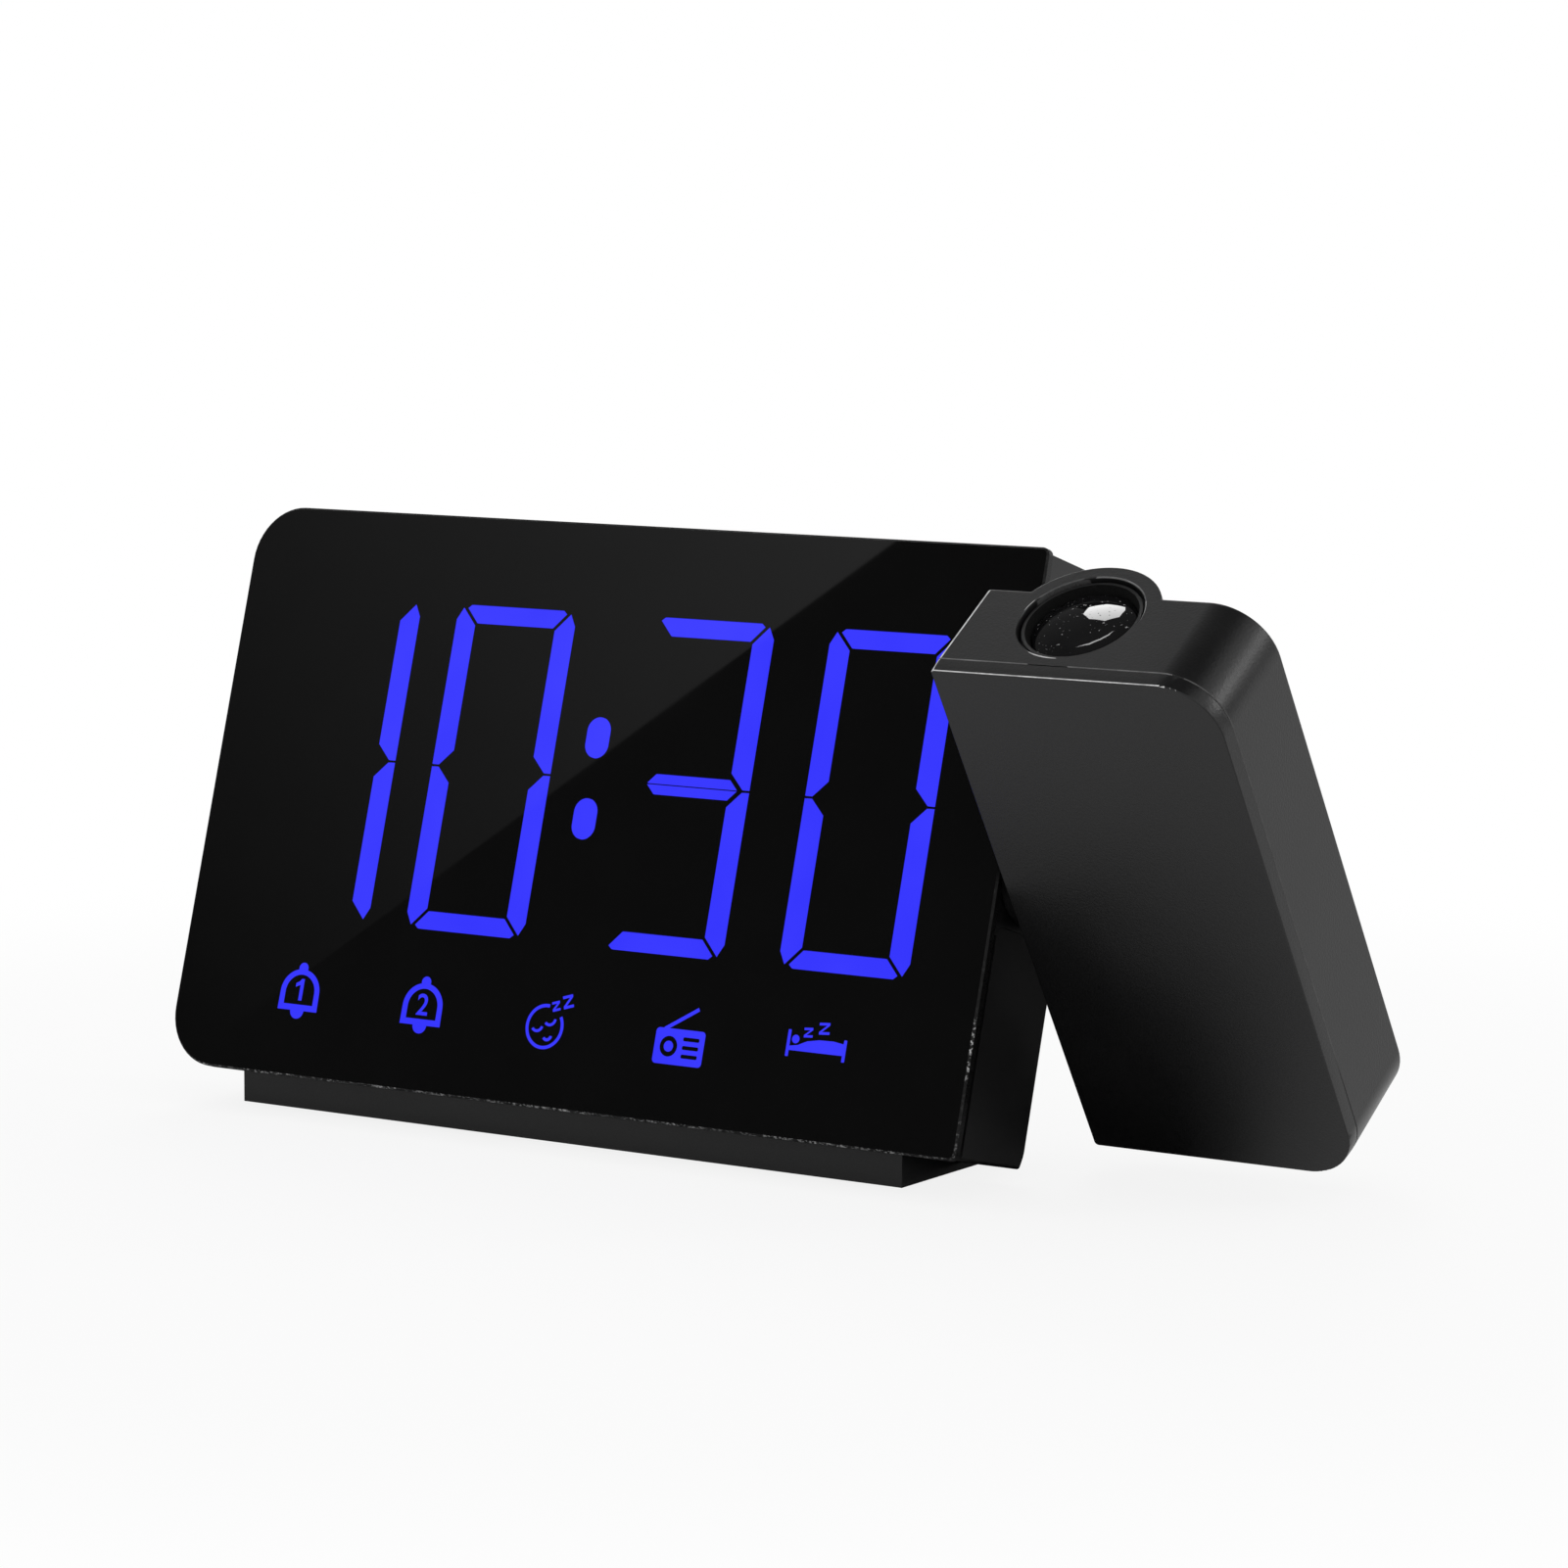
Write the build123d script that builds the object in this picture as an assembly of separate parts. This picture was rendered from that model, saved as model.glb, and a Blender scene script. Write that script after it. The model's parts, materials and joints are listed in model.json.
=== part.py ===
from build123d import *

import os
from math import cos, radians, sin

# Projection alarm clock: a leaning slab body with a projector arm that turns on its side.
#
# Everything is modelled closed and upright: X to the right, Y back from the front panel's
# face, Z up from the panel's bottom edge. The arm is then turned about its pivot, and the
# whole clock is leaned back on its stand. Lengths are in millimetres, angles in degrees.

# ---- attitude -------------------------------------------------------------------------
LEAN = 16.3                 # the body leans back from upright
ARM_OPEN = 49.1             # the arm is turned this far forward of its closed place
PANEL_LIFT = 6.7            # the panel's bottom edge above the table

# ---- front panel ----------------------------------------------------------------------
PANEL_W = 141.0
PANEL_H = 87.2
PANEL_T = 1.6
CORNER_R = 8.5              # the large corners: panel and body left, arm right
SMALL_CORNER_R = 1.2        # the corners that face the arm
PANEL_EDGE = 0.3            # ground front edge of the panel
PANEL_BACK_EDGE = 0.2       # and its broken back edge
FIT = 0.05                  # clearance between pieces that seat in one another
LOOSE = 0.15                # clearance between pieces that only drop in
MOVING = 0.3                # clearance round pieces that are pressed or turned

# ---- display --------------------------------------------------------------------------
DIGIT_MARGINS = (12.1, 12.0)        # clear of the first and the last digit
DIGIT_SPACES = (7.0, 13.5, 9.6)     # between the digits; the middle one holds the colon
DIGIT_BOTTOM = 24.3
DIGIT_TOP_DROP = 13.55      # the digits' top below the panel's top
TIME_SHOWN = ("one", "zero", "three", "zero")
STROKE_V = 3.5              # width of an upright segment
STROKE_H = 2.7              # height of a level segment
MID_H = 2.95                # height of the middle segment
MID_SLIT = 0.22             # dark slit along the middle segment
SEG_GAP = 0.4               # dark gap where two segments meet
SEG_TIP = 1.2               # a segment's point lies this far in from the digit's edge
SEG_DROP = 0.5              # the cut corners of the level segments stop this far short
SEG_BEVEL = 2.4             # rise of the slanted end of an upright segment
MID_INSETS = (3.8, 2.1)     # ends of the middle segment in from the digit's edges
LIT = {"one": "bc", "zero": "abcdef", "three": "abcdg"}
COLON_IN = 7.4              # the colon's centre past the second digit's right edge
COLON_W = 4.1
COLON_H = 6.1
COLON_RISES = (18.65, 30.8)  # above the digits' bottom
INLAY_T = 0.8               # depth of the light windows let into the panel
ICON_COUNT = 5
ICON_MARGINS = (23.4, 25.2)  # centres of the first and last mark, in from the panel's sides
ICON_Z = 12.5
ICON_CELL_R = 4.6           # light cell behind each indicator mark

# ---- body -----------------------------------------------------------------------------
BODY_INSET = 1.4            # the panel overhangs the body this far at both sides
BODY_TOP_DROP = 0.3
BODY_BOTTOM_FRONT = 0.3     # height of the underside at the front of the shell
BODY_BOTTOM_BACK = 1.3      # and at its back
BODY_SMALL_R = 0.4          # the body's right corners
BODY_D = 21.8               # depth from the panel's face to the back
BODY_WALL = 1.8
BODY_EDGE_R = 0.5           # rounding of the back edges
CURL_IN = 1.1               # the back curls in by this much at the very bottom
CURL_H = 6.8                # and is straight above this height
RIM_T = 2.8                 # the frame's rim, seen as a shadow gap between panel and shell
RIM_INSET = 0.8             # the rim lies this far inside the shell's outside
LIP_T = 1.4                 # the frame's lip goes this far into the shell
LIP_W = 1.5
POST_LEFT_IN = 7.3          # screw posts in from the body's sides, bottom and top
POST_RIGHT_IN = 8.0
POST_LOW = 11.5
POST_TOP_DROP = 7.3
POST_R = 3.5
BOSS_R = 3.0
BOSS_END = 8.9              # the frame's bosses meet the shell's posts at this depth
POST_FLOOR = 2.0            # thickness under a screw head
SCREW_R = 1.3
SCREW_HEAD_R = 2.5
SCREW_HEAD_T = 1.7
HEAD_ROOM = 0.3             # clearance round a screw head
CASE_SCREW_LEN = 7.0
SCREW_SLOT = (2.6, 0.6, 0.8)  # length, width and depth of the cross in a head

# ---- light box, board -----------------------------------------------------------------
BOX_LEFT = 10.0
BOX_RIGHT_IN = 9.0          # the light box's right side in from the body's
BOX_BOTTOM = 7.0
BOX_RIM = 3.55              # the light box's wall above the digits
BOX_D = 6.6                 # depth of the light box behind the panel
BOARD_GAP = 0.8             # board behind the light box: the height of an LED
BOARD_T = 1.6
BOARD_LEFT = 12.0
BOARD_RIGHT_IN = 10.2
BOARD_BOTTOM = 10.5
BOARD_TOP_DROP = 5.9
BOARD_CORNER_R = 1.0
LED_W = 1.8
CHIP_SIZE = (12.0, 1.6, 12.0)
CHIP_X = 52.0
CHIP_BELOW_KEYS = 14.0
CHIP_EDGE = 0.3

# ---- controls and sockets on the back and top -------------------------------------------
KEY_FIRST = 30.0
KEY_PITCH = 14.5
KEY_COUNT = 6
KEY_TOP_DROP = 16.9         # the keys' centres below the body's top
KEY_R = 3.9
KEY_EDGE = 0.5
KEY_PROUD = 0.9
KEY_TRAVEL = 0.8
KEY_FLANGE_R = 4.8
KEY_FLANGE_T = 1.1
KEY_STEM_R = 1.6
SWITCH_W = 6.0
SWITCH_D = 4.2
PLUNGER_R = 1.7
PLUNGER_T = 0.8
BAR_W = 61.0
BAR_Y = (6.6, 15.4)
BAR_CORNER_R = 2.0
BAR_EDGE = 0.4
BAR_PROUD = 0.9
BAR_TRAVEL = 0.7
BAR_T = 3.4
BAR_FLANGE = 1.0
SPEAKER_AT = (31.0, 38.0)
SPEAKER_R = 14.0
SPEAKER_T = 4.6
SPEAKER_RIM_T = 1.2
SPEAKER_RIM_W = 1.8
SPEAKER_DISH = 2.4          # depth of the cone
MAGNET_T = 1.6
RING_WALL = 1.2             # the shell's ring round the speaker
GRILLE_MARGIN = 2.0
GRILLE_SLOTS = 7
GRILLE_PITCH = 3.2
GRILLE_SLOT_W = 1.5
DOOR_Z = 34.0
DOOR_W = 26.0
DOOR_H = 30.0
DOOR_T = 1.5
DOOR_CORNER_R = 1.0
DOOR_GRIP = (10.0, 0.9, 0.5)  # length, width and depth of a finger groove
DOOR_GRIP_COUNT = 3
DOOR_GRIP_PITCH = 2.0
DOOR_GRIP_IN = 4.0          # the first groove below the door's top edge
DOOR_SCREW_IN = 3.5         # the door's screw above its bottom edge
DOOR_SINK = 0.9             # depth of the sink under its head
DOOR_SCREW_LEN = 4.0
CELL_R = 10.0
CELL_T = 3.2
CELL_EDGE = 0.4
CELL_RISE = 3.0             # the coin cell's centre above the door's centre
CELL_ROOM = 0.4             # clear under the door
CONTACT_ROOM = 0.4          # clear under the coin cell, for its contact
CONTACT_SIZE = (3.0, 0.2, 12.0)
CONTACT_DISC = (2.2, 0.35)  # radius and height
USB_RIGHT_IN = 37.0         # socket centres in from the panel's right side
USB_Z = 30.0
USB_W = 13.2
USB_H = 5.8
USB_SHELL_T = 0.4
USB_DEPTH = 9.0
USB_SET_IN = 0.2
TONGUE_MARGIN = 1.1
TONGUE_Z = (0.3, 1.9)
TONGUE_SET_IN = 1.2
JACK_RIGHT_IN = 19.5
JACK_Z = 30.0
JACK_W = 9.0
JACK_BORE_R = 2.9
JACK_COLLAR = 0.35
JACK_PIN_R = 0.9
JACK_DEPTH = 8.5
JACK_SET_IN = 0.3
PIN_SET_IN = 1.5
GLAND_Z = 45.0
GLAND_R = 2.4
GLAND_LIP = 0.8
GLAND_PROUD = 0.6
GLAND_TAIL = 1.0
GLAND_HOLE_R = 0.9

# ---- hinge ----------------------------------------------------------------------------
PIVOT_Y = 10.85
PIVOT_Z = 43.6
COVER_BOTTOM = 33.7         # lower seam of the hinge cover
COVER_BACK = 19.6
COVER_T = 1.8
COVER_CORNER_R = 1.3        # the shell's front corner below the cover is rounded
SHAFT_R = 5.0
SHAFT_BORE_R = 3.2
RUNNING = 0.05              # radial clearance of turning and sliding fits
BUSH_WALL = 1.5
BUSH_LEN = 5.0
BUSH_FLANGE_R = 7.2
BUSH_FLANGE_T = 1.0
NUT_R = 7.4
NUT_T = 2.1
NUT_SLOT = (1.6, 0.9)       # width and depth of the nut's slots
THREAD_FIT = 0.02
WAVE_T = 0.5
WAVE_R = 7.0
AXIAL_GAP = 0.05
WASHER_R = 9.0
WASHER_EDGE = 0.3
ARM_FLANGE_R = 8.0
ARM_FLANGE_T = 1.5
ARM_FLANGE_FLAT = 5.7       # the flange is cut flat here, against the arm's back wall

# ---- projector arm ----------------------------------------------------------------------
ARM_GAP = 1.3               # clear of the panel's right edge
ARM_W = 43.1
ARM_H = 86.8
ARM_T = 18.3
ARM_BOTTOM = 0.2            # above the panel's bottom edge when closed
ARM_SMALL_R = 0.8
ARM_WALL = 1.6
ARM_EDGE = 0.2              # rounding of the arm's front edges and of the housing's rim
ARM_BACK_EDGE = 0.5
LID_T = 2.4
LID_DRAFT = 4.0             # the lid's sides lean in towards the front by this angle
SEAM = 0.06
SEAM_BEVEL = 0.12
LENS_IN = 17.2              # the lens axis in from the arm's left side
LENS_Y = 13.25              # and behind the arm's front face
HOUSING_R = 11.25
HOUSING_DROPS = (66.0, 53.0)  # below the arm's top, where the housing swells out of the back
BEZEL_R = 8.9
BEZEL_DROP = 0.6            # the bezel's face below the arm's top
BEZEL_T = 1.6
BEZEL_NECK_R = 8.5          # a shadow gap is left round the bezel's neck
BEZEL_FLANGE_T = 0.6
BEZEL_MOUTH = (8.05, 7.55)  # inner radius at the bezel's face and at its foot
WELL_EDGE = 0.18
BARREL_R = 8.1
BARREL_WALL = 0.8
BARREL_LEN = 22.0
BARREL_DROP = 2.9           # the barrel's rim below the top of the arm
BARREL_FIT = 0.1            # the lens ledges and the key are let into the barrel's wall
FRONT_LENS_DROP = 0.1       # the front lens's edge below the barrel's rim
FRONT_LENS_EDGE = 1.2
FRONT_LENS_RISE = 1.7
REAR_LENS_UP = 2.2          # the rear lens above the barrel's foot
REAR_LENS_EDGE = 1.4
REAR_LENS_RISE = 1.2
FOCUS_TRAVEL = 0.6
KEYWAY_W = 1.3
KEYWAY_R = 9.1
BARREL_KEY_LEN = 4.8
WHEEL_DROP = 16.9           # the focus wheel's foot below the arm's top
WHEEL_T = 4.8
WHEEL_R = 11.2
WHEEL_TEETH = 48
WHEEL_TOOTH_R = 0.32
WHEEL_SIDE_GAP = 0.1
SHELF_T = 1.5
SHELF_R = 11.0
SHELF_FRONT_GAP = 0.4
WHEEL_OUT = 9.95            # the housing is cut flat this far behind the lens axis
TUBE_R = 8.6
TUBE_WALL = 1.0
TUBE_DROPS = (50.0, 27.5)   # the light tube's foot and head below the arm's top
TUBE_LIP_R = 9.5
TUBE_LIP_T = 1.0
LEDGE_W = 0.6
LEDGE_T = 0.6
LCD_W = 10.2
LCD_T = 1.1
LCD_UP = 13.0               # above the light tube's foot
CONDENSER_UP = 5.0
CONDENSER_EDGE = 1.0
CONDENSER_RISE = 2.6
LED_BOARD_T = 1.4
LAMP_W = 3.5
LAMP_T = 1.5
ARM_BOARD_W = (6.5, 14.5)   # to the left and right of the lens axis
ARM_BOARD_UP = 7.8
ARM_BOARD_GAP = 8.0         # below the light tube
ARM_BOARD_Y = 9.0
ARM_BOARD_POST_R = 2.0
ARM_BOARD_POST_IN = 3.0
ARM_SCREW_IN = (6.7, 6.9)   # screws in from the arm's left and right sides
ARM_SCREW_UPS = (8.8, 15.8)
ARM_SCREW_TOP_DROP = 13.0
ARM_POST_R = 3.2
ARM_BOSS_R = 2.7
ARM_BOSS_END = 7.0
ARM_SCREW_LEN = 6.5

# ---- stand ------------------------------------------------------------------------------
FOOT_LEFT = 12.0
FOOT_RIGHT_IN = 11.0        # the stand's right end in from the panel's side
FOOT_FRONT = 4.2            # world distance behind the panel's bottom edge
FOOT_END = 35.4
FOOT_LIFT = 1.0             # the rubber feet hold the stand this far off the table
HEEL_TOP = 12.0             # height of the heel up the body's back
HEEL_TIP = 4.6              # height of the heel's end above the table
HEEL_R = 1.6
HEEL_SHELF = (4.0, 2.0)     # the heel's top reaches this far before and behind the back
NOTCH_Y = 15.5              # the shell's lower back edge is cut away for the stand from here
NOTCH_Z = 4.6
FOOT_SCREW_IN = 18.0        # the outer screws in from the stand's ends
FOOT_SCREW_Y = 12.0
FOOT_SCREW_SEAT = 0.4       # below the panel's bottom edge
FOOT_SCREW_HEAD_T = 0.9
FOOT_SCREW_LEN = 7.0
PAD_R = 4.5
PAD_T = 1.6
PAD_EDGE = 0.3
PAD_END_IN = 8.0            # pads in from the stand's ends
PAD_FRONT_IN = 11.7         # and from its front and back
PAD_BACK_IN = 5.8

# ---- worked out from the values above ---------------------------------------------------
BODY_LEFT = BODY_INSET
BODY_RIGHT = PANEL_W - BODY_INSET
BODY_TOP = PANEL_H - BODY_TOP_DROP
BACK_INNER = BODY_D - BODY_WALL
SHELL_FRONT = PANEL_T + RIM_T
POST_XS = (BODY_LEFT + POST_LEFT_IN, BODY_RIGHT - POST_RIGHT_IN)
POST_ZS = (POST_LOW, BODY_TOP - POST_TOP_DROP)
DIGIT_W = (PANEL_W - sum(DIGIT_MARGINS) - sum(DIGIT_SPACES)) / len(TIME_SHOWN)
DIGIT_LEFTS = [
    DIGIT_MARGINS[0] + i * DIGIT_W + sum(DIGIT_SPACES[:i]) for i in range(len(TIME_SHOWN))
]
DIGIT_TOP = PANEL_H - DIGIT_TOP_DROP
COLON_X = DIGIT_LEFTS[1] + DIGIT_W + COLON_IN
COLON_ZS = [DIGIT_BOTTOM + rise for rise in COLON_RISES]
ICON_PITCH = (PANEL_W - sum(ICON_MARGINS)) / (ICON_COUNT - 1)
ICON_XS = [ICON_MARGINS[0] + i * ICON_PITCH for i in range(ICON_COUNT)]
BOX_X = (BOX_LEFT, BODY_RIGHT - BOX_RIGHT_IN)
BOX_Z = (BOX_BOTTOM, DIGIT_TOP + BOX_RIM)
BOX_BACK = PANEL_T + BOX_D
BOARD_X = (BOARD_LEFT, BODY_RIGHT - BOARD_RIGHT_IN)
BOARD_Z = (BOARD_BOTTOM, BODY_TOP - BOARD_TOP_DROP)
BOARD_FRONT = BOX_BACK + BOARD_GAP
BOARD_BACK = BOARD_FRONT + BOARD_T
KEY_XS = [KEY_FIRST + i * KEY_PITCH for i in range(KEY_COUNT)]
KEY_Z = BODY_TOP - KEY_TOP_DROP
BAR_X = (PANEL_W / 2 - BAR_W / 2, PANEL_W / 2 + BAR_W / 2)
DOOR_AT = (PANEL_W / 2, DOOR_Z)
DOOR_SCREW_Z = DOOR_Z - DOOR_H / 2 + DOOR_SCREW_IN
CELL_FLOOR = BODY_D - DOOR_T - CELL_ROOM - CELL_T - CONTACT_ROOM
USB_AT = (PANEL_W - USB_RIGHT_IN, USB_Z)
JACK_AT = (PANEL_W - JACK_RIGHT_IN, JACK_Z)
GLAND_AT = (PANEL_W - JACK_RIGHT_IN, GLAND_Z)
ARM_LEFT = PANEL_W + ARM_GAP
ARM_RIGHT = ARM_LEFT + ARM_W
ARM_TOP = ARM_BOTTOM + ARM_H
LENS_X = ARM_LEFT + LENS_IN
HOUSING_TAPER = (ARM_TOP - HOUSING_DROPS[0], ARM_TOP - HOUSING_DROPS[1])
BEZEL_SEAT = ARM_TOP - BEZEL_DROP - BEZEL_T
WHEEL_Z = ARM_TOP - WHEEL_DROP
WHEEL_FLAT_Y = LENS_Y + WHEEL_OUT
TUBE_Z = (ARM_TOP - TUBE_DROPS[0], ARM_TOP - TUBE_DROPS[1])
LCD_Z = TUBE_Z[0] + LCD_UP
CONDENSER_Z = TUBE_Z[0] + CONDENSER_UP
ARM_BOARD_X = (LENS_X - ARM_BOARD_W[0], LENS_X + ARM_BOARD_W[1])
ARM_BOARD_Z = (ARM_BOTTOM + ARM_BOARD_UP, TUBE_Z[0] - ARM_BOARD_GAP)
ARM_SCREWS = (
    (ARM_LEFT + ARM_SCREW_IN[0], ARM_BOTTOM + ARM_SCREW_UPS[0]),
    (ARM_RIGHT - ARM_SCREW_IN[1], ARM_BOTTOM + ARM_SCREW_UPS[1]),
    (ARM_RIGHT - ARM_SCREW_IN[1], ARM_TOP - ARM_SCREW_TOP_DROP),
)
FOOT_X = (FOOT_LEFT, PANEL_W - FOOT_RIGHT_IN)
FOOT_SCREW_XS = (FOOT_X[0] + FOOT_SCREW_IN, (FOOT_X[0] + FOOT_X[1]) / 2, FOOT_X[1] - FOOT_SCREW_IN)
PAD_XS = (FOOT_X[0] + PAD_END_IN, FOOT_X[1] - PAD_END_IN)
PAD_YS = (FOOT_FRONT + PAD_FRONT_IN, FOOT_END - PAD_BACK_IN)


def lean_y(y, z):
    """World distance behind the panel's bottom edge of a point given upright."""
    return y * cos(radians(LEAN)) + z * sin(radians(LEAN))


def lean_z(y, z):
    """World height above the table of a point given upright."""
    return PANEL_LIFT - y * sin(radians(LEAN)) + z * cos(radians(LEAN))


def arm_turned(y, z):
    """A point of the closed arm, after the arm has been turned about its pivot."""
    a = radians(ARM_OPEN)
    dy, dz = y - PIVOT_Y, z - PIVOT_Z
    return PIVOT_Y + dy * cos(a) - dz * sin(a), PIVOT_Z + dy * sin(a) + dz * cos(a)


FRONT_REACH = lean_y(*arm_turned(0.0, ARM_TOP))
BACK_REACH = lean_y(*arm_turned(ARM_T, ARM_BOTTOM))
ORIGIN = (ARM_RIGHT / 2, (FRONT_REACH + BACK_REACH) / 2)


# ---- small helpers ----------------------------------------------------------------------
def slab(x, y, z):
    """A box from three (low, high) pairs."""
    size = [b - a for a, b in (x, y, z)]
    middle = [(a + b) / 2 for a, b in (x, y, z)]
    return Pos(*middle) * Box(*size)


def around(centre, width):
    """The (low, high) pair of a width about a centre."""
    return centre - width / 2, centre + width / 2


def rod_x(x, y, z, r):
    """A cylinder along X between the two values of the pair x."""
    return Pos((x[0] + x[1]) / 2, y, z) * Rot(0, 90, 0) * Cylinder(r, x[1] - x[0])


def rod_y(x, y, z, r):
    """A cylinder along Y between the two values of the pair y."""
    return Pos(x, (y[0] + y[1]) / 2, z) * Rot(90, 0, 0) * Cylinder(r, y[1] - y[0])


def rod_z(x, y, z, r):
    """A cylinder along Z between the two values of the pair z."""
    return Pos(x, y, (z[0] + z[1]) / 2) * Cylinder(r, z[1] - z[0])


def facing(y):
    """The upright plane at depth y, seen from the front: sketches have X right and Y up."""
    return Plane(origin=(0, y, 0), x_dir=(1, 0, 0), z_dir=(0, -1, 0))


def push(sketch, y):
    """A prism of an upright sketch between the two depths of the pair y."""
    return extrude(facing(y[0]) * sketch, -(y[1] - y[0]))


def tile(x, z, left_r, right_r):
    """An upright rectangle with its own corner radius at each side."""
    sketch = Pos((x[0] + x[1]) / 2, (z[0] + z[1]) / 2) * Rectangle(x[1] - x[0], z[1] - z[0])
    sketch = fillet(sketch.vertices().group_by(Axis.X)[0], left_r)
    return fillet(sketch.vertices().group_by(Axis.X)[-1], right_r)


def outline(points):
    """A closed sketch through the points."""
    return make_face(Polyline(*points, close=True))


def group(solids):
    """Separate solids that make one node."""
    return Compound(children=list(solids))


def lens(z, r, rim, bulge_up, bulge_down):
    """A round lens on the lens axis: rim thickness, and the rise of each face (0 is flat)."""
    low, high = z, z + rim

    def face_line(height, rise):
        """Half of one face, from the axis to the rim."""
        if rise == 0:
            return Line((0, height), (r, height))
        return ThreePointArc((0, height + rise), (r * 0.55, height + rise * 0.7), (r, height))

    half = Line((0, low - bulge_down), (0, high + bulge_up))
    half += face_line(high, bulge_up)
    half += Line((r, high), (r, low))
    half += face_line(low, -bulge_down)
    return Pos(LENS_X, LENS_Y, 0) * revolve(Plane.XZ * make_face(half), Axis.Z)


# ---- display ----------------------------------------------------------------------------
def digit_segments(left):
    """The seven segments of one digit, by letter, as upright sketches."""
    mid = (DIGIT_BOTTOM + DIGIT_TOP) / 2
    half = SEG_GAP / 2

    def upright(sign, right):
        """One upright segment: sign is 1 above the middle, -1 below."""
        end = (DIGIT_TOP - mid) - SEG_DROP
        shape = [
            (0, half),
            (SEG_TIP, half),
            (STROKE_V, half + STROKE_V - SEG_TIP),
            (STROKE_V, end - SEG_BEVEL - SEG_GAP / 2),
            (SEG_TIP - SEG_GAP / 2, end),
            (0, end - 1.5 * SEG_TIP),
        ]
        return outline([
            (left + DIGIT_W - x if right else left + x, mid + sign * z) for x, z in shape
        ])

    def level(sign):
        """The top (sign 1) or bottom (sign -1) segment."""
        outer = (DIGIT_TOP - mid)
        inner = outer - STROKE_H
        shape = [(STROKE_V + SEG_GAP, inner), (SEG_TIP + 1.5 * SEG_GAP, outer - SEG_DROP),
                 (SEG_TIP + 3.0 * SEG_GAP, outer)]
        points = shape + [(DIGIT_W - x, z) for x, z in reversed(shape)]
        return outline([(left + x, mid + sign * z) for x, z in points])

    def middle():
        """The middle segment, split by its slit."""
        tall = MID_H / 2
        a, b = left + MID_INSETS[0], left + DIGIT_W - MID_INSETS[1]
        bar = outline([(a, mid), (a + tall, mid + tall), (b - tall, mid + tall),
                       (b, mid), (b - tall, mid - tall), (a + tall, mid - tall)])
        return bar - Pos((a + b) / 2, mid) * Rectangle(b - a, MID_SLIT)

    return {
        "a": level(1), "b": upright(1, True), "c": upright(-1, True), "d": level(-1),
        "e": upright(-1, False), "f": upright(1, False), "g": middle(),
    }


def colon_dots():
    """The two rounded marks between hours and minutes."""
    return [Pos(COLON_X, z) * Rot(0, 0, 90) * SlotOverall(COLON_H, COLON_W) for z in COLON_ZS]


def all_cells():
    """Every cell of the display, lit or not."""
    cells = [s for left in DIGIT_LEFTS for s in digit_segments(left).values()]
    return cells + colon_dots()


def lit_cells():
    """The cells that are alight."""
    cells = []
    for left, figure in zip(DIGIT_LEFTS, TIME_SHOWN):
        segments = digit_segments(left)
        cells += [segments[letter] for letter in LIT[figure]]
    return cells + colon_dots()


def front_panel():
    """The glossy face, with pockets for the light windows."""
    panel = push(tile((0, PANEL_W), (0, PANEL_H), CORNER_R, SMALL_CORNER_R), (0, PANEL_T))
    panel = chamfer(panel.faces().sort_by(Axis.Y)[0].edges(), PANEL_EDGE)
    panel = chamfer(panel.faces().sort_by(Axis.Y)[-1].edges(), PANEL_BACK_EDGE)
    for cell in lit_cells():
        panel -= push(offset(cell, FIT, kind=Kind.INTERSECTION), (0, INLAY_T))
    return panel


def display_segments():
    """The lit windows, one solid each, flush with the panel's face."""
    return group(push(face, (0, INLAY_T)).solid() for cell in lit_cells() for face in cell.faces())


def box_outline(clear):
    """The light box's outline with a clearance: a rectangle that gives way to the case screws."""
    size = (BOX_X[1] - BOX_X[0] + 2 * clear, BOX_Z[1] - BOX_Z[0] + 2 * clear)
    sketch = Pos((BOX_X[0] + BOX_X[1]) / 2, (BOX_Z[0] + BOX_Z[1]) / 2) * Rectangle(*size)
    for x in POST_XS:
        for z in POST_ZS:
            sketch -= Pos(x, z) * Circle(BOSS_R + 2 * LOOSE - clear)
    return sketch


def light_box():
    """The block behind the panel, with one cell for each segment and mark."""
    block = push(box_outline(0), (PANEL_T, BOX_BACK))
    for cell in all_cells():
        block -= push(cell, (PANEL_T, BOX_BACK))
    for x in ICON_XS:
        block -= rod_y(x, (PANEL_T, BOX_BACK), ICON_Z, ICON_CELL_R)
    return block


def led_chips():
    """One LED in the mouth of each light cell."""
    spots = []
    for left in DIGIT_LEFTS:
        spots += [s.center() for s in digit_segments(left).values()]
    spots += [s.center() for s in colon_dots()]
    depth = (BOARD_FRONT - BOARD_GAP * 0.9, BOARD_FRONT)
    chips = [slab(around(p.X, LED_W), depth, around(p.Y, LED_W)) for p in spots]
    chips += [slab(around(x, LED_W), depth, around(ICON_Z, LED_W)) for x in ICON_XS]
    return group(chips)


def main_board():
    """The circuit board, cut round the screw posts."""
    board = slab(BOARD_X, (BOARD_FRONT, BOARD_BACK), BOARD_Z)
    board = fillet(board.edges().filter_by(Axis.Y), BOARD_CORNER_R)
    for x in POST_XS:
        for z in POST_ZS:
            board -= rod_y(x, (0, BODY_D), z, POST_R + 2 * LOOSE)
    return board


def clock_chip():
    """The timekeeping circuit on the back of the board."""
    width, depth, height = CHIP_SIZE
    chip = slab(around(CHIP_X, width), (BOARD_BACK, BOARD_BACK + depth),
                around(KEY_Z - CHIP_BELOW_KEYS, height))
    return chamfer(chip.faces().sort_by(Axis.Y)[-1].edges(), CHIP_EDGE)


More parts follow.
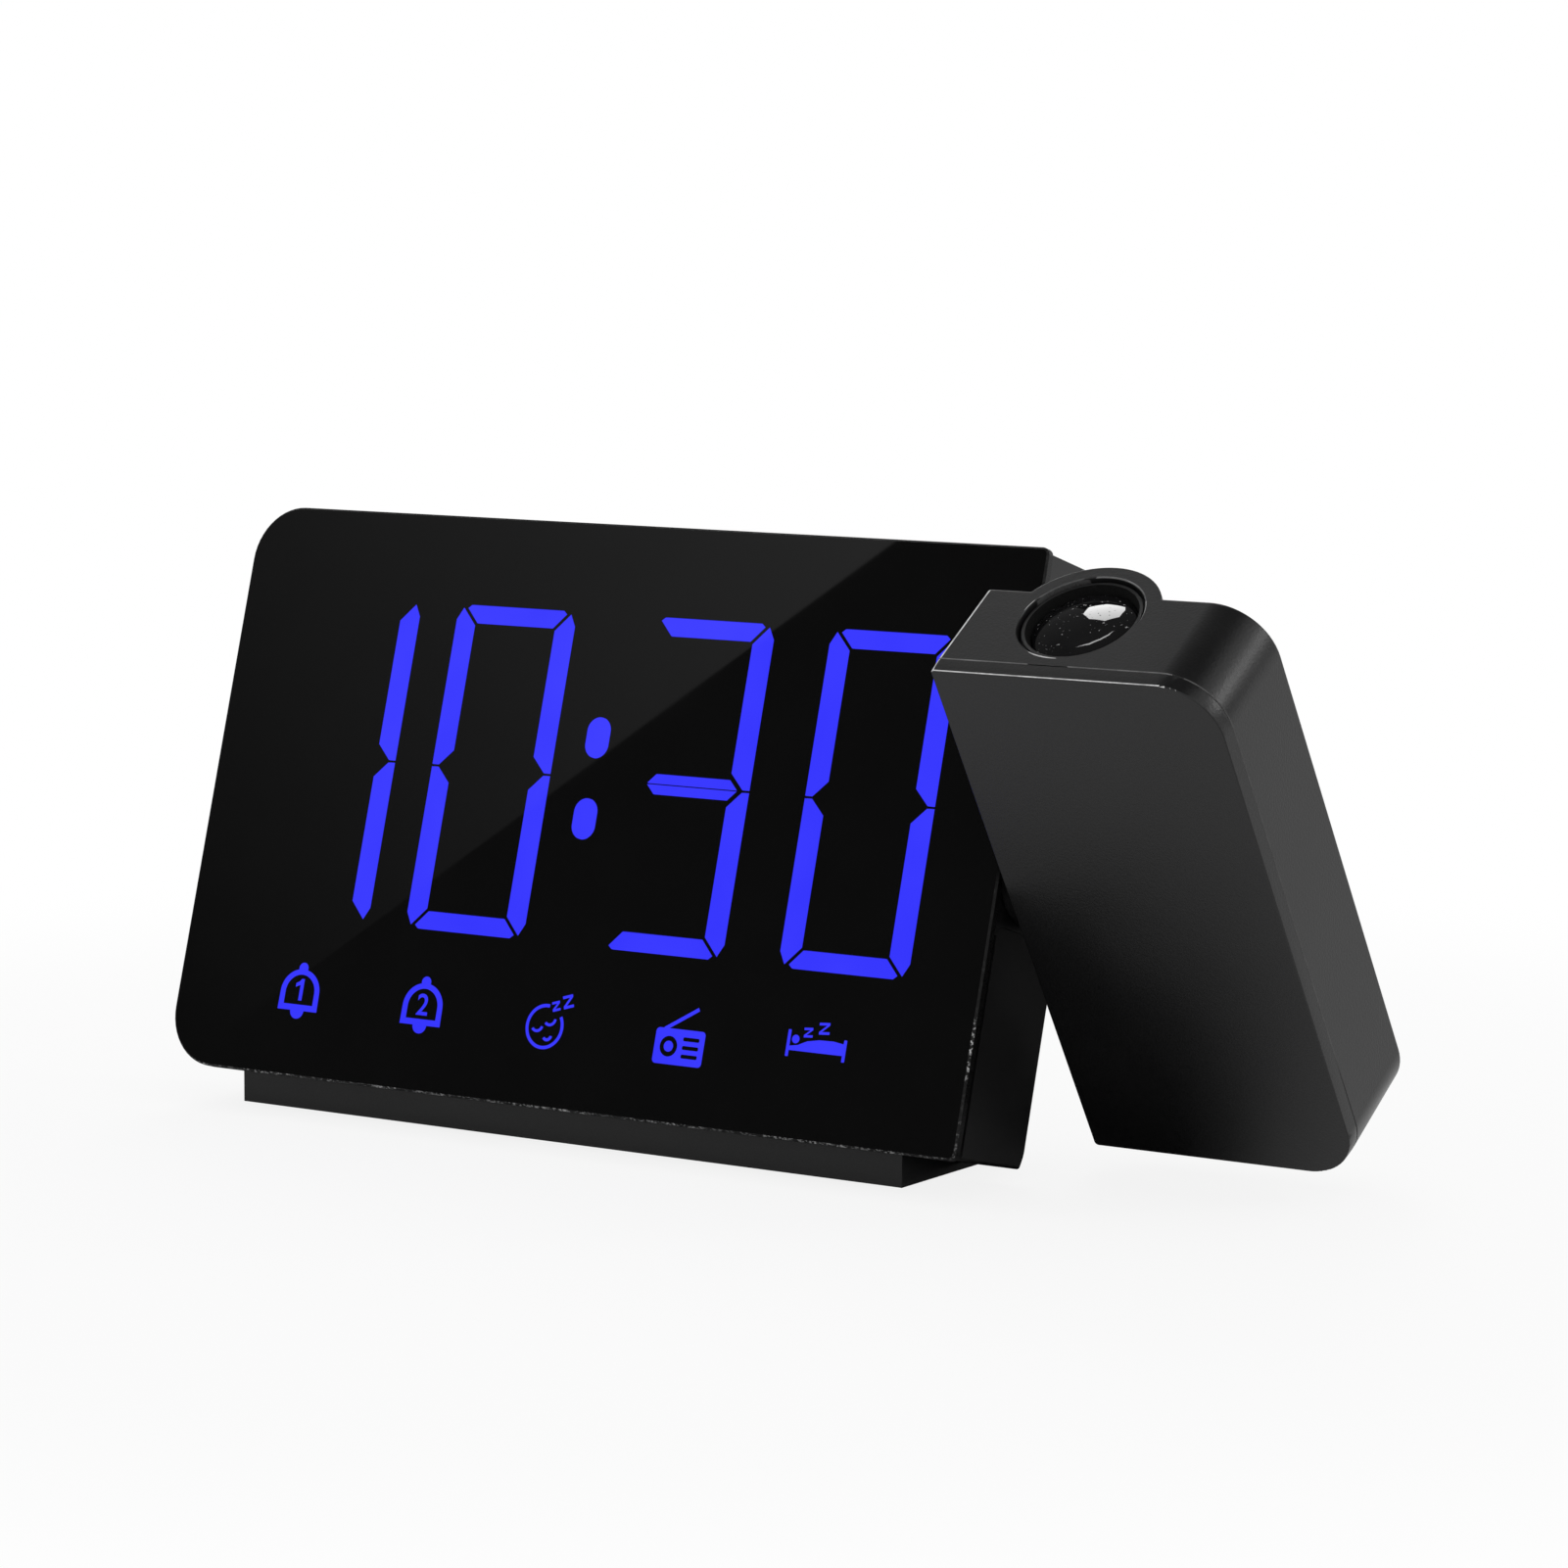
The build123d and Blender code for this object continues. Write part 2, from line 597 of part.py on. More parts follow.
def tact_switches():
    """A switch behind each rear key, and one under the snooze bar."""
    switches = []
    for x in KEY_XS:
        top = BOARD_BACK + SWITCH_D
        switch = slab(around(x, SWITCH_W), (BOARD_BACK, top), around(KEY_Z, SWITCH_W))
        switches.append(switch + rod_y(x, (top, top + PLUNGER_T), KEY_Z, PLUNGER_R))
    bar_centre = (BAR_X[0] + BAR_X[1]) / 2
    press = BODY_TOP - BAR_T - BAR_TRAVEL - MOVING
    switch = slab(around(bar_centre, SWITCH_W), (BOARD_BACK, BOARD_BACK + SWITCH_D),
                  (press - PLUNGER_T - SWITCH_W, press - PLUNGER_T))
    switches.append(switch + rod_z(bar_centre, BOARD_BACK + SWITCH_D / 2,
                                   (press - PLUNGER_T, press), PLUNGER_R))
    return group(switches)


# ---- body shell ---------------------------------------------------------------------------
def body_form(inset, y):
    """The body's form between two depths, inset from its outside by a wall."""
    left_r = CORNER_R - BODY_INSET - inset

    def section(depth):
        share = (depth - PANEL_T) / (BODY_D - PANEL_T)
        bottom = BODY_BOTTOM_FRONT + (BODY_BOTTOM_BACK - BODY_BOTTOM_FRONT) * share
        sketch = tile((BODY_LEFT + inset, BODY_RIGHT - inset), (bottom + inset, BODY_TOP - inset),
                      left_r, BODY_SMALL_R)
        return facing(depth) * sketch

    return loft([section(y[0]), section(y[1])], ruled=True)


def side_view(sketch, x):
    """A prism along X of a sketch in depth and height, between the two values of the pair x."""
    plane = Plane(origin=(x[0], 0, 0), x_dir=(0, 1, 0), z_dir=(1, 0, 0))
    return extrude(plane * sketch, x[1] - x[0])


def body_outside(front):
    """The outside of the body from a depth backwards: rounded, and curled in below."""
    form = body_form(0, (front, BODY_D))
    form = fillet(form.faces().sort_by(Axis.Y)[-1].edges(), BODY_EDGE_R)
    foot = (BODY_D - CURL_IN, BODY_BOTTOM_BACK)
    bend = (BODY_D - CURL_IN * 0.3, BODY_BOTTOM_BACK + (CURL_H - BODY_BOTTOM_BACK) * 0.45)
    curl = ThreePointArc(foot, bend, (BODY_D, CURL_H))
    curl += Polyline((BODY_D, CURL_H), (BODY_D + 1, CURL_H), (BODY_D + 1, 0), (foot[0], 0), foot)
    return form - side_view(make_face(curl), (BODY_LEFT - 1, BODY_RIGHT + 1))


def cover_room(clear):
    """The space that the hinge cover takes in the shell's right side, with a rounded foot."""
    low, corner = COVER_BOTTOM - clear, COVER_CORNER_R
    side = Pos((PANEL_T + COVER_BACK + clear - 1) / 2, (low + BODY_TOP + 1) / 2) * Rectangle(
        COVER_BACK + clear - PANEL_T + 1, BODY_TOP + 1 - low)
    side += Pos((PANEL_T - 1 + SHELL_FRONT + corner) / 2, low - corner / 2) * Rectangle(
        SHELL_FRONT + corner - PANEL_T + 1, corner)
    side -= Pos(SHELL_FRONT + corner, low - corner) * Circle(corner)
    return side_view(side, (BODY_RIGHT - COVER_T - clear, BODY_RIGHT + 1))


def grille():
    """Slots of the speaker grille, cut to a round outline."""
    x, z = SPEAKER_AT
    reach = SPEAKER_R - GRILLE_MARGIN
    slots = []
    for i in range(GRILLE_SLOTS):
        rise = (i - (GRILLE_SLOTS - 1) / 2) * GRILLE_PITCH
        half = (reach ** 2 - rise ** 2) ** 0.5
        slots.append(Pos(x, z + rise) * SlotOverall(2 * half, GRILLE_SLOT_W))
    return [push(s, (BACK_INNER - 1, BODY_D + 1)) for s in slots]


def rear_shell():
    """The tub behind the panel, with posts, bays and every opening of the back and top."""
    shell = body_outside(SHELL_FRONT) - body_form(BODY_WALL, (PANEL_T, BACK_INNER))

    # screw posts and their counterbores
    for x in POST_XS:
        for z in POST_ZS:
            shell += rod_y(x, (BOSS_END + FIT, BACK_INNER), z, POST_R)
            seat = case_screw_seat()
            shell -= rod_y(x, (seat, BODY_D + 1), z, SCREW_HEAD_R + HEAD_ROOM)
            shell -= rod_y(x, (0, seat + 1), z, SCREW_R + HEAD_ROOM)

    # a solid bar across the bottom, notched for the stand, and bosses for its screws
    bar_x = (FOOT_X[0] - BODY_WALL, FOOT_X[1] + BODY_WALL)
    shell += slab(bar_x, (NOTCH_Y - BODY_WALL, BACK_INNER), (BODY_BOTTOM_BACK, NOTCH_Z + BODY_WALL))
    for x in FOOT_SCREW_XS:
        shell += rod_z(x, FOOT_SCREW_Y, (BODY_BOTTOM_BACK, NOTCH_Z + 2 * BODY_WALL), BOSS_R)
    shell -= slab((FOOT_X[0] - FIT, FOOT_X[1] + FIT), (NOTCH_Y - FIT, BODY_D + 1),
                  (-2, NOTCH_Z + FIT))
    for x in FOOT_SCREW_XS:
        shell -= rod_z(x, FOOT_SCREW_Y, (-2, NOTCH_Z + 2 * BODY_WALL - 1), SCREW_R + FIT)

    # speaker ring and grille
    x, z = SPEAKER_AT
    ring_y = (BACK_INNER - SPEAKER_T, BACK_INNER)
    ring = rod_y(x, ring_y, z, SPEAKER_R + LOOSE + RING_WALL)
    shell += ring - rod_y(x, ring_y, z, SPEAKER_R + LOOSE)
    for slot in grille():
        shell -= slot

    # coin cell bay behind the door
    x, z = DOOR_AT
    shell += slab(around(x, DOOR_W + 2 * BODY_WALL), (CELL_FLOOR - BODY_WALL, BACK_INNER),
                  around(z, DOOR_H + 2 * BODY_WALL))
    shell -= slab(around(x, DOOR_W + 2 * LOOSE), (BODY_D - DOOR_T, BODY_D + 1),
                  around(z, DOOR_H + 2 * LOOSE))
    shell -= rod_y(x, (CELL_FLOOR, BODY_D + 1), z + CELL_RISE, CELL_R + LOOSE)
    shell -= rod_y(x, (CELL_FLOOR, BODY_D + 1), DOOR_SCREW_Z, SCREW_R + FIT)

    # keys, sockets, gland, snooze bar
    for x in KEY_XS:
        shell -= rod_y(x, (BACK_INNER - 1, BODY_D + 1), KEY_Z, KEY_R + MOVING)
    shell -= slab(around(USB_AT[0], USB_W + 2 * FIT), (BACK_INNER - 1, BODY_D + 1),
                  around(USB_AT[1], USB_H + 2 * FIT))
    shell -= rod_y(JACK_AT[0], (BACK_INNER - 1, BODY_D + 1), JACK_AT[1],
                   JACK_BORE_R + JACK_COLLAR + FIT)
    shell -= rod_y(GLAND_AT[0], (BACK_INNER - 1, BODY_D + 1), GLAND_AT[1], GLAND_R + FIT)
    bar_hole = slab((BAR_X[0] - MOVING, BAR_X[1] + MOVING), (BAR_Y[0] - MOVING, BAR_Y[1] + MOVING),
                    (BODY_TOP - BODY_WALL - 1, BODY_TOP + 1))
    shell -= fillet(bar_hole.edges().filter_by(Axis.Z), BAR_CORNER_R + MOVING)

    return shell - cover_room(SEAM)


def front_frame():
    """The frame that the panel is bonded to: rim, lip into the shell, and screw bosses."""
    x = (BODY_LEFT + RIM_INSET, BODY_RIGHT - RIM_INSET)
    z = (BODY_BOTTOM_FRONT + RIM_INSET, BODY_TOP - RIM_INSET)
    frame = push(tile(x, z, CORNER_R - BODY_INSET - RIM_INSET, BODY_SMALL_R), (PANEL_T, SHELL_FRONT))

    clear = BODY_WALL + LOOSE
    rise = BODY_BOTTOM_BACK - BODY_BOTTOM_FRONT
    lip_x = (BODY_LEFT + clear, BODY_RIGHT - clear)
    lip_z = (BODY_BOTTOM_FRONT + clear + rise, BODY_TOP - clear)
    lip = tile(lip_x, lip_z, CORNER_R - BODY_INSET - clear, BODY_SMALL_R)
    lip -= offset(lip, -LIP_W)
    frame += push(lip, (SHELL_FRONT, SHELL_FRONT + LIP_T))

    for x_post in POST_XS:
        for z_post in POST_ZS:
            frame += rod_y(x_post, (PANEL_T, BOSS_END), z_post, BOSS_R)
    frame -= push(box_outline(LOOSE), (PANEL_T - 1, BODY_D))
    for x_post in POST_XS:
        for z_post in POST_ZS:
            tip = case_screw_seat() - CASE_SCREW_LEN - LOOSE
            frame -= rod_y(x_post, (tip, BODY_D), z_post, SCREW_R + FIT)

    # room for the hinge cover, for the hinge inside it, and for the snooze bar
    frame -= cover_room(FIT)
    frame -= rod_x((BOX_X[1], BODY_RIGHT + 1), PIVOT_Y, PIVOT_Z, NUT_R + LOOSE)
    return frame - slab((BAR_X[0] - BAR_FLANGE - MOVING, BAR_X[1] + BAR_FLANGE + MOVING),
                        (BAR_Y[0] - BAR_FLANGE - MOVING, BODY_D), (BODY_TOP - BAR_T - 2, BODY_TOP))


def screw_y(x, z, seat, length):
    """A pan head screw driven forwards, with its head seated at a depth."""
    head = rod_y(x, (seat, seat + SCREW_HEAD_T), z, SCREW_HEAD_R)
    head = fillet(head.faces().sort_by(Axis.Y)[-1].edges(), SCREW_HEAD_T * 0.4)
    long, wide, deep = SCREW_SLOT
    slot_y = (seat + SCREW_HEAD_T - deep, seat + SCREW_HEAD_T + 1)
    cross = slab(around(x, long), slot_y, around(z, wide))
    cross += slab(around(x, wide), slot_y, around(z, long))
    return head + rod_y(x, (seat - length, seat), z, SCREW_R) - cross


def case_screw_seat():
    """Depth of the face under a case screw's head."""
    return BOSS_END + FIT + POST_FLOOR


def shell_screws():
    """The case screws, down in their counterbores."""
    seat = case_screw_seat()
    return group(screw_y(x, z, seat, CASE_SCREW_LEN) for x in POST_XS for z in POST_ZS)


def speaker():
    """A small round speaker: basket, magnet and domed cone towards the grille."""
    x, z = SPEAKER_AT
    back = BACK_INNER
    front = back - SPEAKER_T
    basket = Cone(SPEAKER_R, SPEAKER_R * 0.55, SPEAKER_T - SPEAKER_RIM_T)
    body = rod_y(x, (back - SPEAKER_RIM_T, back), z, SPEAKER_R)
    body += Pos(x, (front + back - SPEAKER_RIM_T) / 2, z) * Rot(90, 0, 0) * basket
    dish = Cone(SPEAKER_R * 0.45, SPEAKER_R - SPEAKER_RIM_W, SPEAKER_DISH)
    body -= Pos(x, back, z) * Rot(90, 0, 0) * dish
    return body + rod_y(x, (front - MAGNET_T, front), z, SPEAKER_R * 0.5)


def battery_door():
    """The door of the coin cell, flush in the back, with its screw hole and finger grooves."""
    x, z = DOOR_AT
    door = slab(around(x, DOOR_W), (BODY_D - DOOR_T, BODY_D), around(z, DOOR_H))
    door = fillet(door.edges().filter_by(Axis.Y), DOOR_CORNER_R)
    door -= rod_y(x, (0, BODY_D + 1), DOOR_SCREW_Z, SCREW_R + HEAD_ROOM)
    door -= rod_y(x, (BODY_D - DOOR_SINK, BODY_D + 1), DOOR_SCREW_Z, SCREW_HEAD_R + HEAD_ROOM)
    long, wide, deep = DOOR_GRIP
    for i in range(DOOR_GRIP_COUNT):
        rise = DOOR_H / 2 - DOOR_GRIP_IN - DOOR_GRIP_PITCH * i
        door -= push(Pos(x, z + rise) * SlotOverall(long, wide), (BODY_D - deep, BODY_D + 1))
    return door


def door_screw():
    """The short screw that keeps the battery door."""
    x = DOOR_AT[0]
    seat = BODY_D - DOOR_SINK
    head = rod_y(x, (seat, BODY_D - 2 * FIT), DOOR_SCREW_Z, SCREW_HEAD_R)
    long, wide, deep = SCREW_SLOT
    slot_y = (BODY_D - deep, BODY_D + 1)
    cross = slab(around(x, long), slot_y, around(DOOR_SCREW_Z, wide))
    cross += slab(around(x, wide), slot_y, around(DOOR_SCREW_Z, long))
    return head - cross + rod_y(x, (seat - DOOR_SCREW_LEN, seat), DOOR_SCREW_Z, SCREW_R)


def coin_cell():
    """The backup cell, in its bay."""
    x, z = DOOR_AT
    back = BODY_D - DOOR_T - CELL_ROOM
    cell = rod_y(x, (back - CELL_T, back), z + CELL_RISE, CELL_R)
    return fillet(cell.edges(), CELL_EDGE)


def cell_contact():
    """The sprung contact under the coin cell."""
    x, z = DOOR_AT
    wide, thick, long = CONTACT_SIZE
    strip = slab(around(x, wide), (CELL_FLOOR, CELL_FLOOR + thick), around(z + CELL_RISE, long))
    disc_r, disc_t = CONTACT_DISC
    return strip + rod_y(x, (CELL_FLOOR, CELL_FLOOR + disc_t), z + CELL_RISE, disc_r)


def usb_port():
    """A USB socket: folded shell, tongue and body, open to the back."""
    x, z = USB_AT
    port = slab(around(x, USB_W), (BOARD_BACK, BODY_D - USB_SET_IN), around(z, USB_H))
    inner = slab(around(x, USB_W - 2 * USB_SHELL_T), (BODY_D - USB_DEPTH, BODY_D + 1),
                 around(z, USB_H - 2 * USB_SHELL_T))
    tongue = slab(around(x, USB_W - 2 * TONGUE_MARGIN),
                  (BODY_D - USB_DEPTH, BODY_D - TONGUE_SET_IN), (z + TONGUE_Z[0], z + TONGUE_Z[1]))
    return port - inner + tongue


def dc_jack():
    """The power socket, with its centre pin."""
    x, z = JACK_AT
    jack = slab(around(x, JACK_W), (BOARD_BACK, BACK_INNER), around(z, JACK_W))
    jack += rod_y(x, (BACK_INNER, BODY_D - JACK_SET_IN), z, JACK_BORE_R + JACK_COLLAR)
    jack -= rod_y(x, (BODY_D - JACK_DEPTH, BODY_D + 1), z, JACK_BORE_R)
    return jack + rod_y(x, (BODY_D - JACK_DEPTH, BODY_D - PIN_SET_IN), z, JACK_PIN_R)


def antenna_gland():
    """The small bush where an aerial wire would leave the case."""
    x, z = GLAND_AT
    gland = rod_y(x, (BACK_INNER - GLAND_TAIL, BODY_D + GLAND_PROUD), z, GLAND_R)
    gland += rod_y(x, (BODY_D, BODY_D + GLAND_PROUD), z, GLAND_R + GLAND_LIP)
    gland += rod_y(x, (BACK_INNER - GLAND_TAIL, BACK_INNER - FIT), z, GLAND_R + GLAND_LIP)
    return gland - rod_y(x, (0, BODY_D + 2), z, GLAND_HOLE_R)


def rear_key(x):
    """A round key: cap, retaining flange and stem."""
    cap = rod_y(x, (BACK_INNER - KEY_FLANGE_T, BODY_D + KEY_PROUD), KEY_Z, KEY_R)
    cap = fillet(cap.faces().sort_by(Axis.Y)[-1].edges(), KEY_EDGE)
    cap += rod_y(x, (BACK_INNER - KEY_FLANGE_T - FIT, BACK_INNER - FIT), KEY_Z, KEY_FLANGE_R)
    reach = BOARD_BACK + SWITCH_D + PLUNGER_T + KEY_TRAVEL + MOVING
    return cap + rod_y(x, (reach, BACK_INNER - KEY_FLANGE_T), KEY_Z, KEY_STEM_R)


def snooze_bar():
    """The long bar on the top, with its retaining flange."""
    cap = slab(BAR_X, BAR_Y, (BODY_TOP - BAR_T, BODY_TOP + BAR_PROUD))
    cap = fillet(cap.edges().filter_by(Axis.Z), BAR_CORNER_R)
    cap = fillet(cap.faces().sort_by(Axis.Z)[-1].edges(), BAR_EDGE)
    under = BODY_TOP - BODY_WALL - FIT
    return cap + slab((BAR_X[0] - BAR_FLANGE, BAR_X[1] + BAR_FLANGE),
                      (BAR_Y[0] - BAR_FLANGE, BAR_Y[1] + BAR_FLANGE), (under - BAR_FLANGE, under))


# ---- hinge --------------------------------------------------------------------------------
def hinge_cover():
    """The side plate over the hinge, flush with the shell, bored for the bush."""
    cover = body_outside(PANEL_T) & cover_room(0)
    return cover - rod_x((BODY_RIGHT - BUSH_LEN, BODY_RIGHT + 1), PIVOT_Y, PIVOT_Z,
                         SHAFT_R + RUNNING + BUSH_WALL + FIT)


def hinge_bush():
    """The flanged bush that the shaft turns in."""
    inner = BODY_RIGHT - COVER_T
    bush = rod_x((BODY_RIGHT - BUSH_LEN, BODY_RIGHT), PIVOT_Y, PIVOT_Z, SHAFT_R + RUNNING + BUSH_WALL)
    bush += rod_x((inner - BUSH_FLANGE_T, inner), PIVOT_Y, PIVOT_Z, BUSH_FLANGE_R)
    return bush - rod_x((0, ARM_LEFT), PIVOT_Y, PIVOT_Z, SHAFT_R + RUNNING)


def pivot_washer():
    """The thick washer that fills the gap between body and arm."""
    ring = rod_x((BODY_RIGHT, ARM_LEFT - AXIAL_GAP), PIVOT_Y, PIVOT_Z, WASHER_R)
    ring = chamfer(ring.edges(), WASHER_EDGE)
    return ring - rod_x((0, ARM_RIGHT), PIVOT_Y, PIVOT_Z, SHAFT_R + RUNNING)


def wave_washer():
    """The spring washer that gives the hinge its friction."""
    x = BODY_RIGHT - BUSH_LEN
    ring = rod_x((x - WAVE_T, x), PIVOT_Y, PIVOT_Z, WAVE_R)
    return ring - rod_x((0, ARM_RIGHT), PIVOT_Y, PIVOT_Z, SHAFT_R + RUNNING)


def shaft_end():
    """The inner end of the pivot shaft along X."""
    return BODY_RIGHT - BUSH_LEN - WAVE_T - AXIAL_GAP - NUT_T


def shaft_nut():
    """The slotted nut on the shaft's inner end."""
    x = shaft_end()
    nut = rod_x((x, x + NUT_T), PIVOT_Y, PIVOT_Z, NUT_R)
    for turn in (0, 90):
        slot = slab((x - 1, x + NUT_SLOT[1]), around(0, 2 * NUT_R + 2), around(0, NUT_SLOT[0]))
        nut -= Pos(0, PIVOT_Y, PIVOT_Z) * Rot(turn, 0, 0) * slot
    return nut - rod_x((0, ARM_RIGHT), PIVOT_Y, PIVOT_Z, SHAFT_R + THREAD_FIT)


def pivot_shaft():
    """The hollow shaft, fixed by its flange inside the arm; the wires run through it."""
    wall = ARM_LEFT + ARM_WALL
    shaft = rod_x((shaft_end(), wall + ARM_FLANGE_T), PIVOT_Y, PIVOT_Z, SHAFT_R)
    flange_x = (wall, wall + ARM_FLANGE_T)
    flat = slab(flange_x, (PIVOT_Y - ARM_FLANGE_R, PIVOT_Y + ARM_FLANGE_FLAT),
                around(PIVOT_Z, 2 * ARM_FLANGE_R))
    shaft += rod_x(flange_x, PIVOT_Y, PIVOT_Z, ARM_FLANGE_R) & flat
    return shaft - rod_x((0, ARM_RIGHT), PIVOT_Y, PIVOT_Z, SHAFT_BORE_R)


# ---- projector arm --------------------------------------------------------------------------
def arm_outline(inset):
    """The arm's upright outline, inset by a wall."""
    x = (ARM_LEFT + inset, ARM_RIGHT - inset)
    z = (ARM_BOTTOM + inset, ARM_TOP - inset)
    left_r = max(ARM_SMALL_R - inset, ARM_EDGE)
    return tile(x, z, left_r, CORNER_R - inset)


def arm_form(inset, y):
    """A block of the arm's outline between two depths."""
    return push(arm_outline(inset), y)


def arm_front_cover():
    """The front half of the arm: a shallow drafted lid with screw bosses."""
    lid = extrude(facing(LID_T) * arm_outline(0), LID_T, taper=LID_DRAFT)
    lid = fillet(lid.faces().sort_by(Axis.Y)[0].edges(), ARM_EDGE)
    lid = chamfer(lid.faces().sort_by(Axis.Y)[-1].edges(), SEAM_BEVEL)
    lid -= arm_form(ARM_WALL, (ARM_WALL, LID_T + 1))
    for x, z in ARM_SCREWS:
        lid += rod_y(x, (ARM_WALL / 2, ARM_BOSS_END), z, ARM_BOSS_R)
        lid -= rod_y(x, (ARM_WALL + HEAD_ROOM, ARM_BOSS_END + 1), z, SCREW_R + FIT)
    return lid


def lens_housing():
    """The round lens housing that swells out of the arm's back."""
    low, high = HOUSING_TAPER
    swell = HOUSING_R - (ARM_T - LENS_Y)
    tube = rod_z(LENS_X, LENS_Y, (high, ARM_TOP), HOUSING_R)
    tube += Pos(LENS_X, LENS_Y, (low + high) / 2) * Cone(HOUSING_R - swell, HOUSING_R, high - low)
    tube = fillet(tube.faces().sort_by(Axis.Z)[-1].edges(), ARM_EDGE)
    return tube & slab((ARM_LEFT, ARM_RIGHT), (LID_T + SEAM, ARM_T + 2 * HOUSING_R), (0, ARM_TOP))


def wheel_room():
    """The space cut through the housing for the focus wheel."""
    z = (WHEEL_Z - WHEEL_SIDE_GAP, WHEEL_Z + WHEEL_T + WHEEL_SIDE_GAP)
    room = rod_z(LENS_X, LENS_Y, z, WHEEL_R + MOVING)
    flat = slab(around(LENS_X, 2 * HOUSING_R), (WHEEL_FLAT_Y, ARM_T + 2 * HOUSING_R),
                (z[0] - SHELF_T, z[1] + SHELF_T))
    return room, flat


def arm_rear_shell():
    """The rear half of the arm, with the lens housing, wheel shelves and screw posts."""
    front = LID_T + SEAM
    outer = arm_form(0, (front, ARM_T))
    outer = fillet(outer.faces().sort_by(Axis.Y)[-1].edges(), ARM_BACK_EDGE)
    outer = chamfer(outer.faces().sort_by(Axis.Y)[0].edges(), SEAM_BEVEL)
    housing = lens_housing()
    shell = outer + housing
    shell -= arm_form(ARM_WALL, (front - 1, ARM_T - ARM_WALL))

    # hollow of the housing, then the top block and shelves put back
    wheel_low, wheel_high = WHEEL_Z - WHEEL_SIDE_GAP, WHEEL_Z + WHEEL_T + WHEEL_SIDE_GAP
    low, high = HOUSING_TAPER
    hollow_r = HOUSING_R - ARM_WALL
    shell -= rod_z(LENS_X, LENS_Y, (high, wheel_high + SHELF_T), hollow_r)
    inner_low = hollow_r - (HOUSING_R - (ARM_T - LENS_Y))
    shell -= Pos(LENS_X, LENS_Y, (low + high) / 2) * Cone(max(inner_low, 1.0), hollow_r, high - low)
    keep = slab((ARM_LEFT, ARM_RIGHT), (front + SHELF_FRONT_GAP, ARM_T + 2 * HOUSING_R), (0, ARM_TOP))
    shell += rod_z(LENS_X, LENS_Y, (wheel_high, ARM_TOP - ARM_WALL), SHELF_R) & keep
    shell += rod_z(LENS_X, LENS_Y, (wheel_low - SHELF_T, wheel_low), SHELF_R) & keep
    tube_shelf = TUBE_Z[1] - SHELF_T
    shell += rod_z(LENS_X, LENS_Y, (tube_shelf - TUBE_LIP_T, TUBE_Z[1] - TUBE_LIP_T), SHELF_R) & keep

    # the bezel's well with its broken edge, the barrel's bore and keyway, the tube's bore
    well_r = BEZEL_R + FIT
    shell -= rod_z(LENS_X, LENS_Y, (BEZEL_SEAT, ARM_TOP + 1), well_r)
    shell -= Pos(LENS_X, LENS_Y, ARM_TOP - WELL_EDGE / 2) * Cone(well_r, well_r + WELL_EDGE, WELL_EDGE)
    shell -= rod_z(LENS_X, LENS_Y, (wheel_high + SHELF_T, ARM_TOP), BARREL_R + MOVING)
    shell -= rod_z(LENS_X, LENS_Y, (wheel_low - SHELF_T - 1, wheel_high + SHELF_T + 1), BARREL_R + RUNNING)
    shell -= rod_z(LENS_X, LENS_Y, (tube_shelf - SHELF_T - 2, TUBE_Z[1] + 1), TUBE_R + FIT)
    shell -= slab((LENS_X, LENS_X + KEYWAY_R), around(LENS_Y, KEYWAY_W + 2 * RUNNING),
                  (wheel_high + SHELF_T, BEZEL_SEAT + FIT))
    room, flat = wheel_room()
    shell = shell - room - flat

    # pivot hole, screw posts and board posts
    shell -= rod_x((ARM_LEFT - 1, ARM_LEFT + ARM_WALL + FIT), PIVOT_Y, PIVOT_Z, SHAFT_R + THREAD_FIT)
    post_end = ARM_T - ARM_WALL / 2
    for x, z in ARM_SCREWS:
        shell += rod_y(x, (ARM_BOSS_END + FIT, post_end), z, ARM_POST_R)
        seat = ARM_BOSS_END + FIT + POST_FLOOR
        shell -= rod_y(x, (seat, ARM_T + 1), z, SCREW_HEAD_R + HEAD_ROOM)
        shell -= rod_y(x, (0, seat + 1), z, SCREW_R + HEAD_ROOM)
    for x in (ARM_BOARD_X[0] + ARM_BOARD_POST_IN, ARM_BOARD_X[1] - ARM_BOARD_POST_IN):
        middle = (ARM_BOARD_Z[0] + ARM_BOARD_Z[1]) / 2
        shell += rod_y(x, (ARM_BOARD_Y + BOARD_T, post_end), middle, ARM_BOARD_POST_R)
    return shell


def arm_screws():
    """The screws that close the arm, from its back."""
    seat = ARM_BOSS_END + FIT + POST_FLOOR
    return group(screw_y(x, z, seat, ARM_SCREW_LEN) for x, z in ARM_SCREWS)


def ring_z(z, outer, inner):
    """A ring about the lens axis."""
    return rod_z(LENS_X, LENS_Y, z, outer) - rod_z(LENS_X, LENS_Y, (z[0] - 1, z[1] + 1), inner)


def lens_bezel():
    """The trim ring in the lens well: a narrow neck on a seated flange, with a coned mouth."""
    top = ARM_TOP - BEZEL_DROP
    flange_top = BEZEL_SEAT + BEZEL_FLANGE_T
    ring = rod_z(LENS_X, LENS_Y, (flange_top, top), BEZEL_NECK_R)
    ring += rod_z(LENS_X, LENS_Y, (BEZEL_SEAT, flange_top), BEZEL_R)
    return ring - Pos(LENS_X, LENS_Y, (BEZEL_SEAT + top) / 2) * Cone(
        BEZEL_MOUTH[1], BEZEL_MOUTH[0], BEZEL_T)


def front_lens_seat():
    """Height of the ledge that the front lens rests on."""
    return ARM_TOP - BARREL_DROP - FRONT_LENS_DROP - FRONT_LENS_EDGE


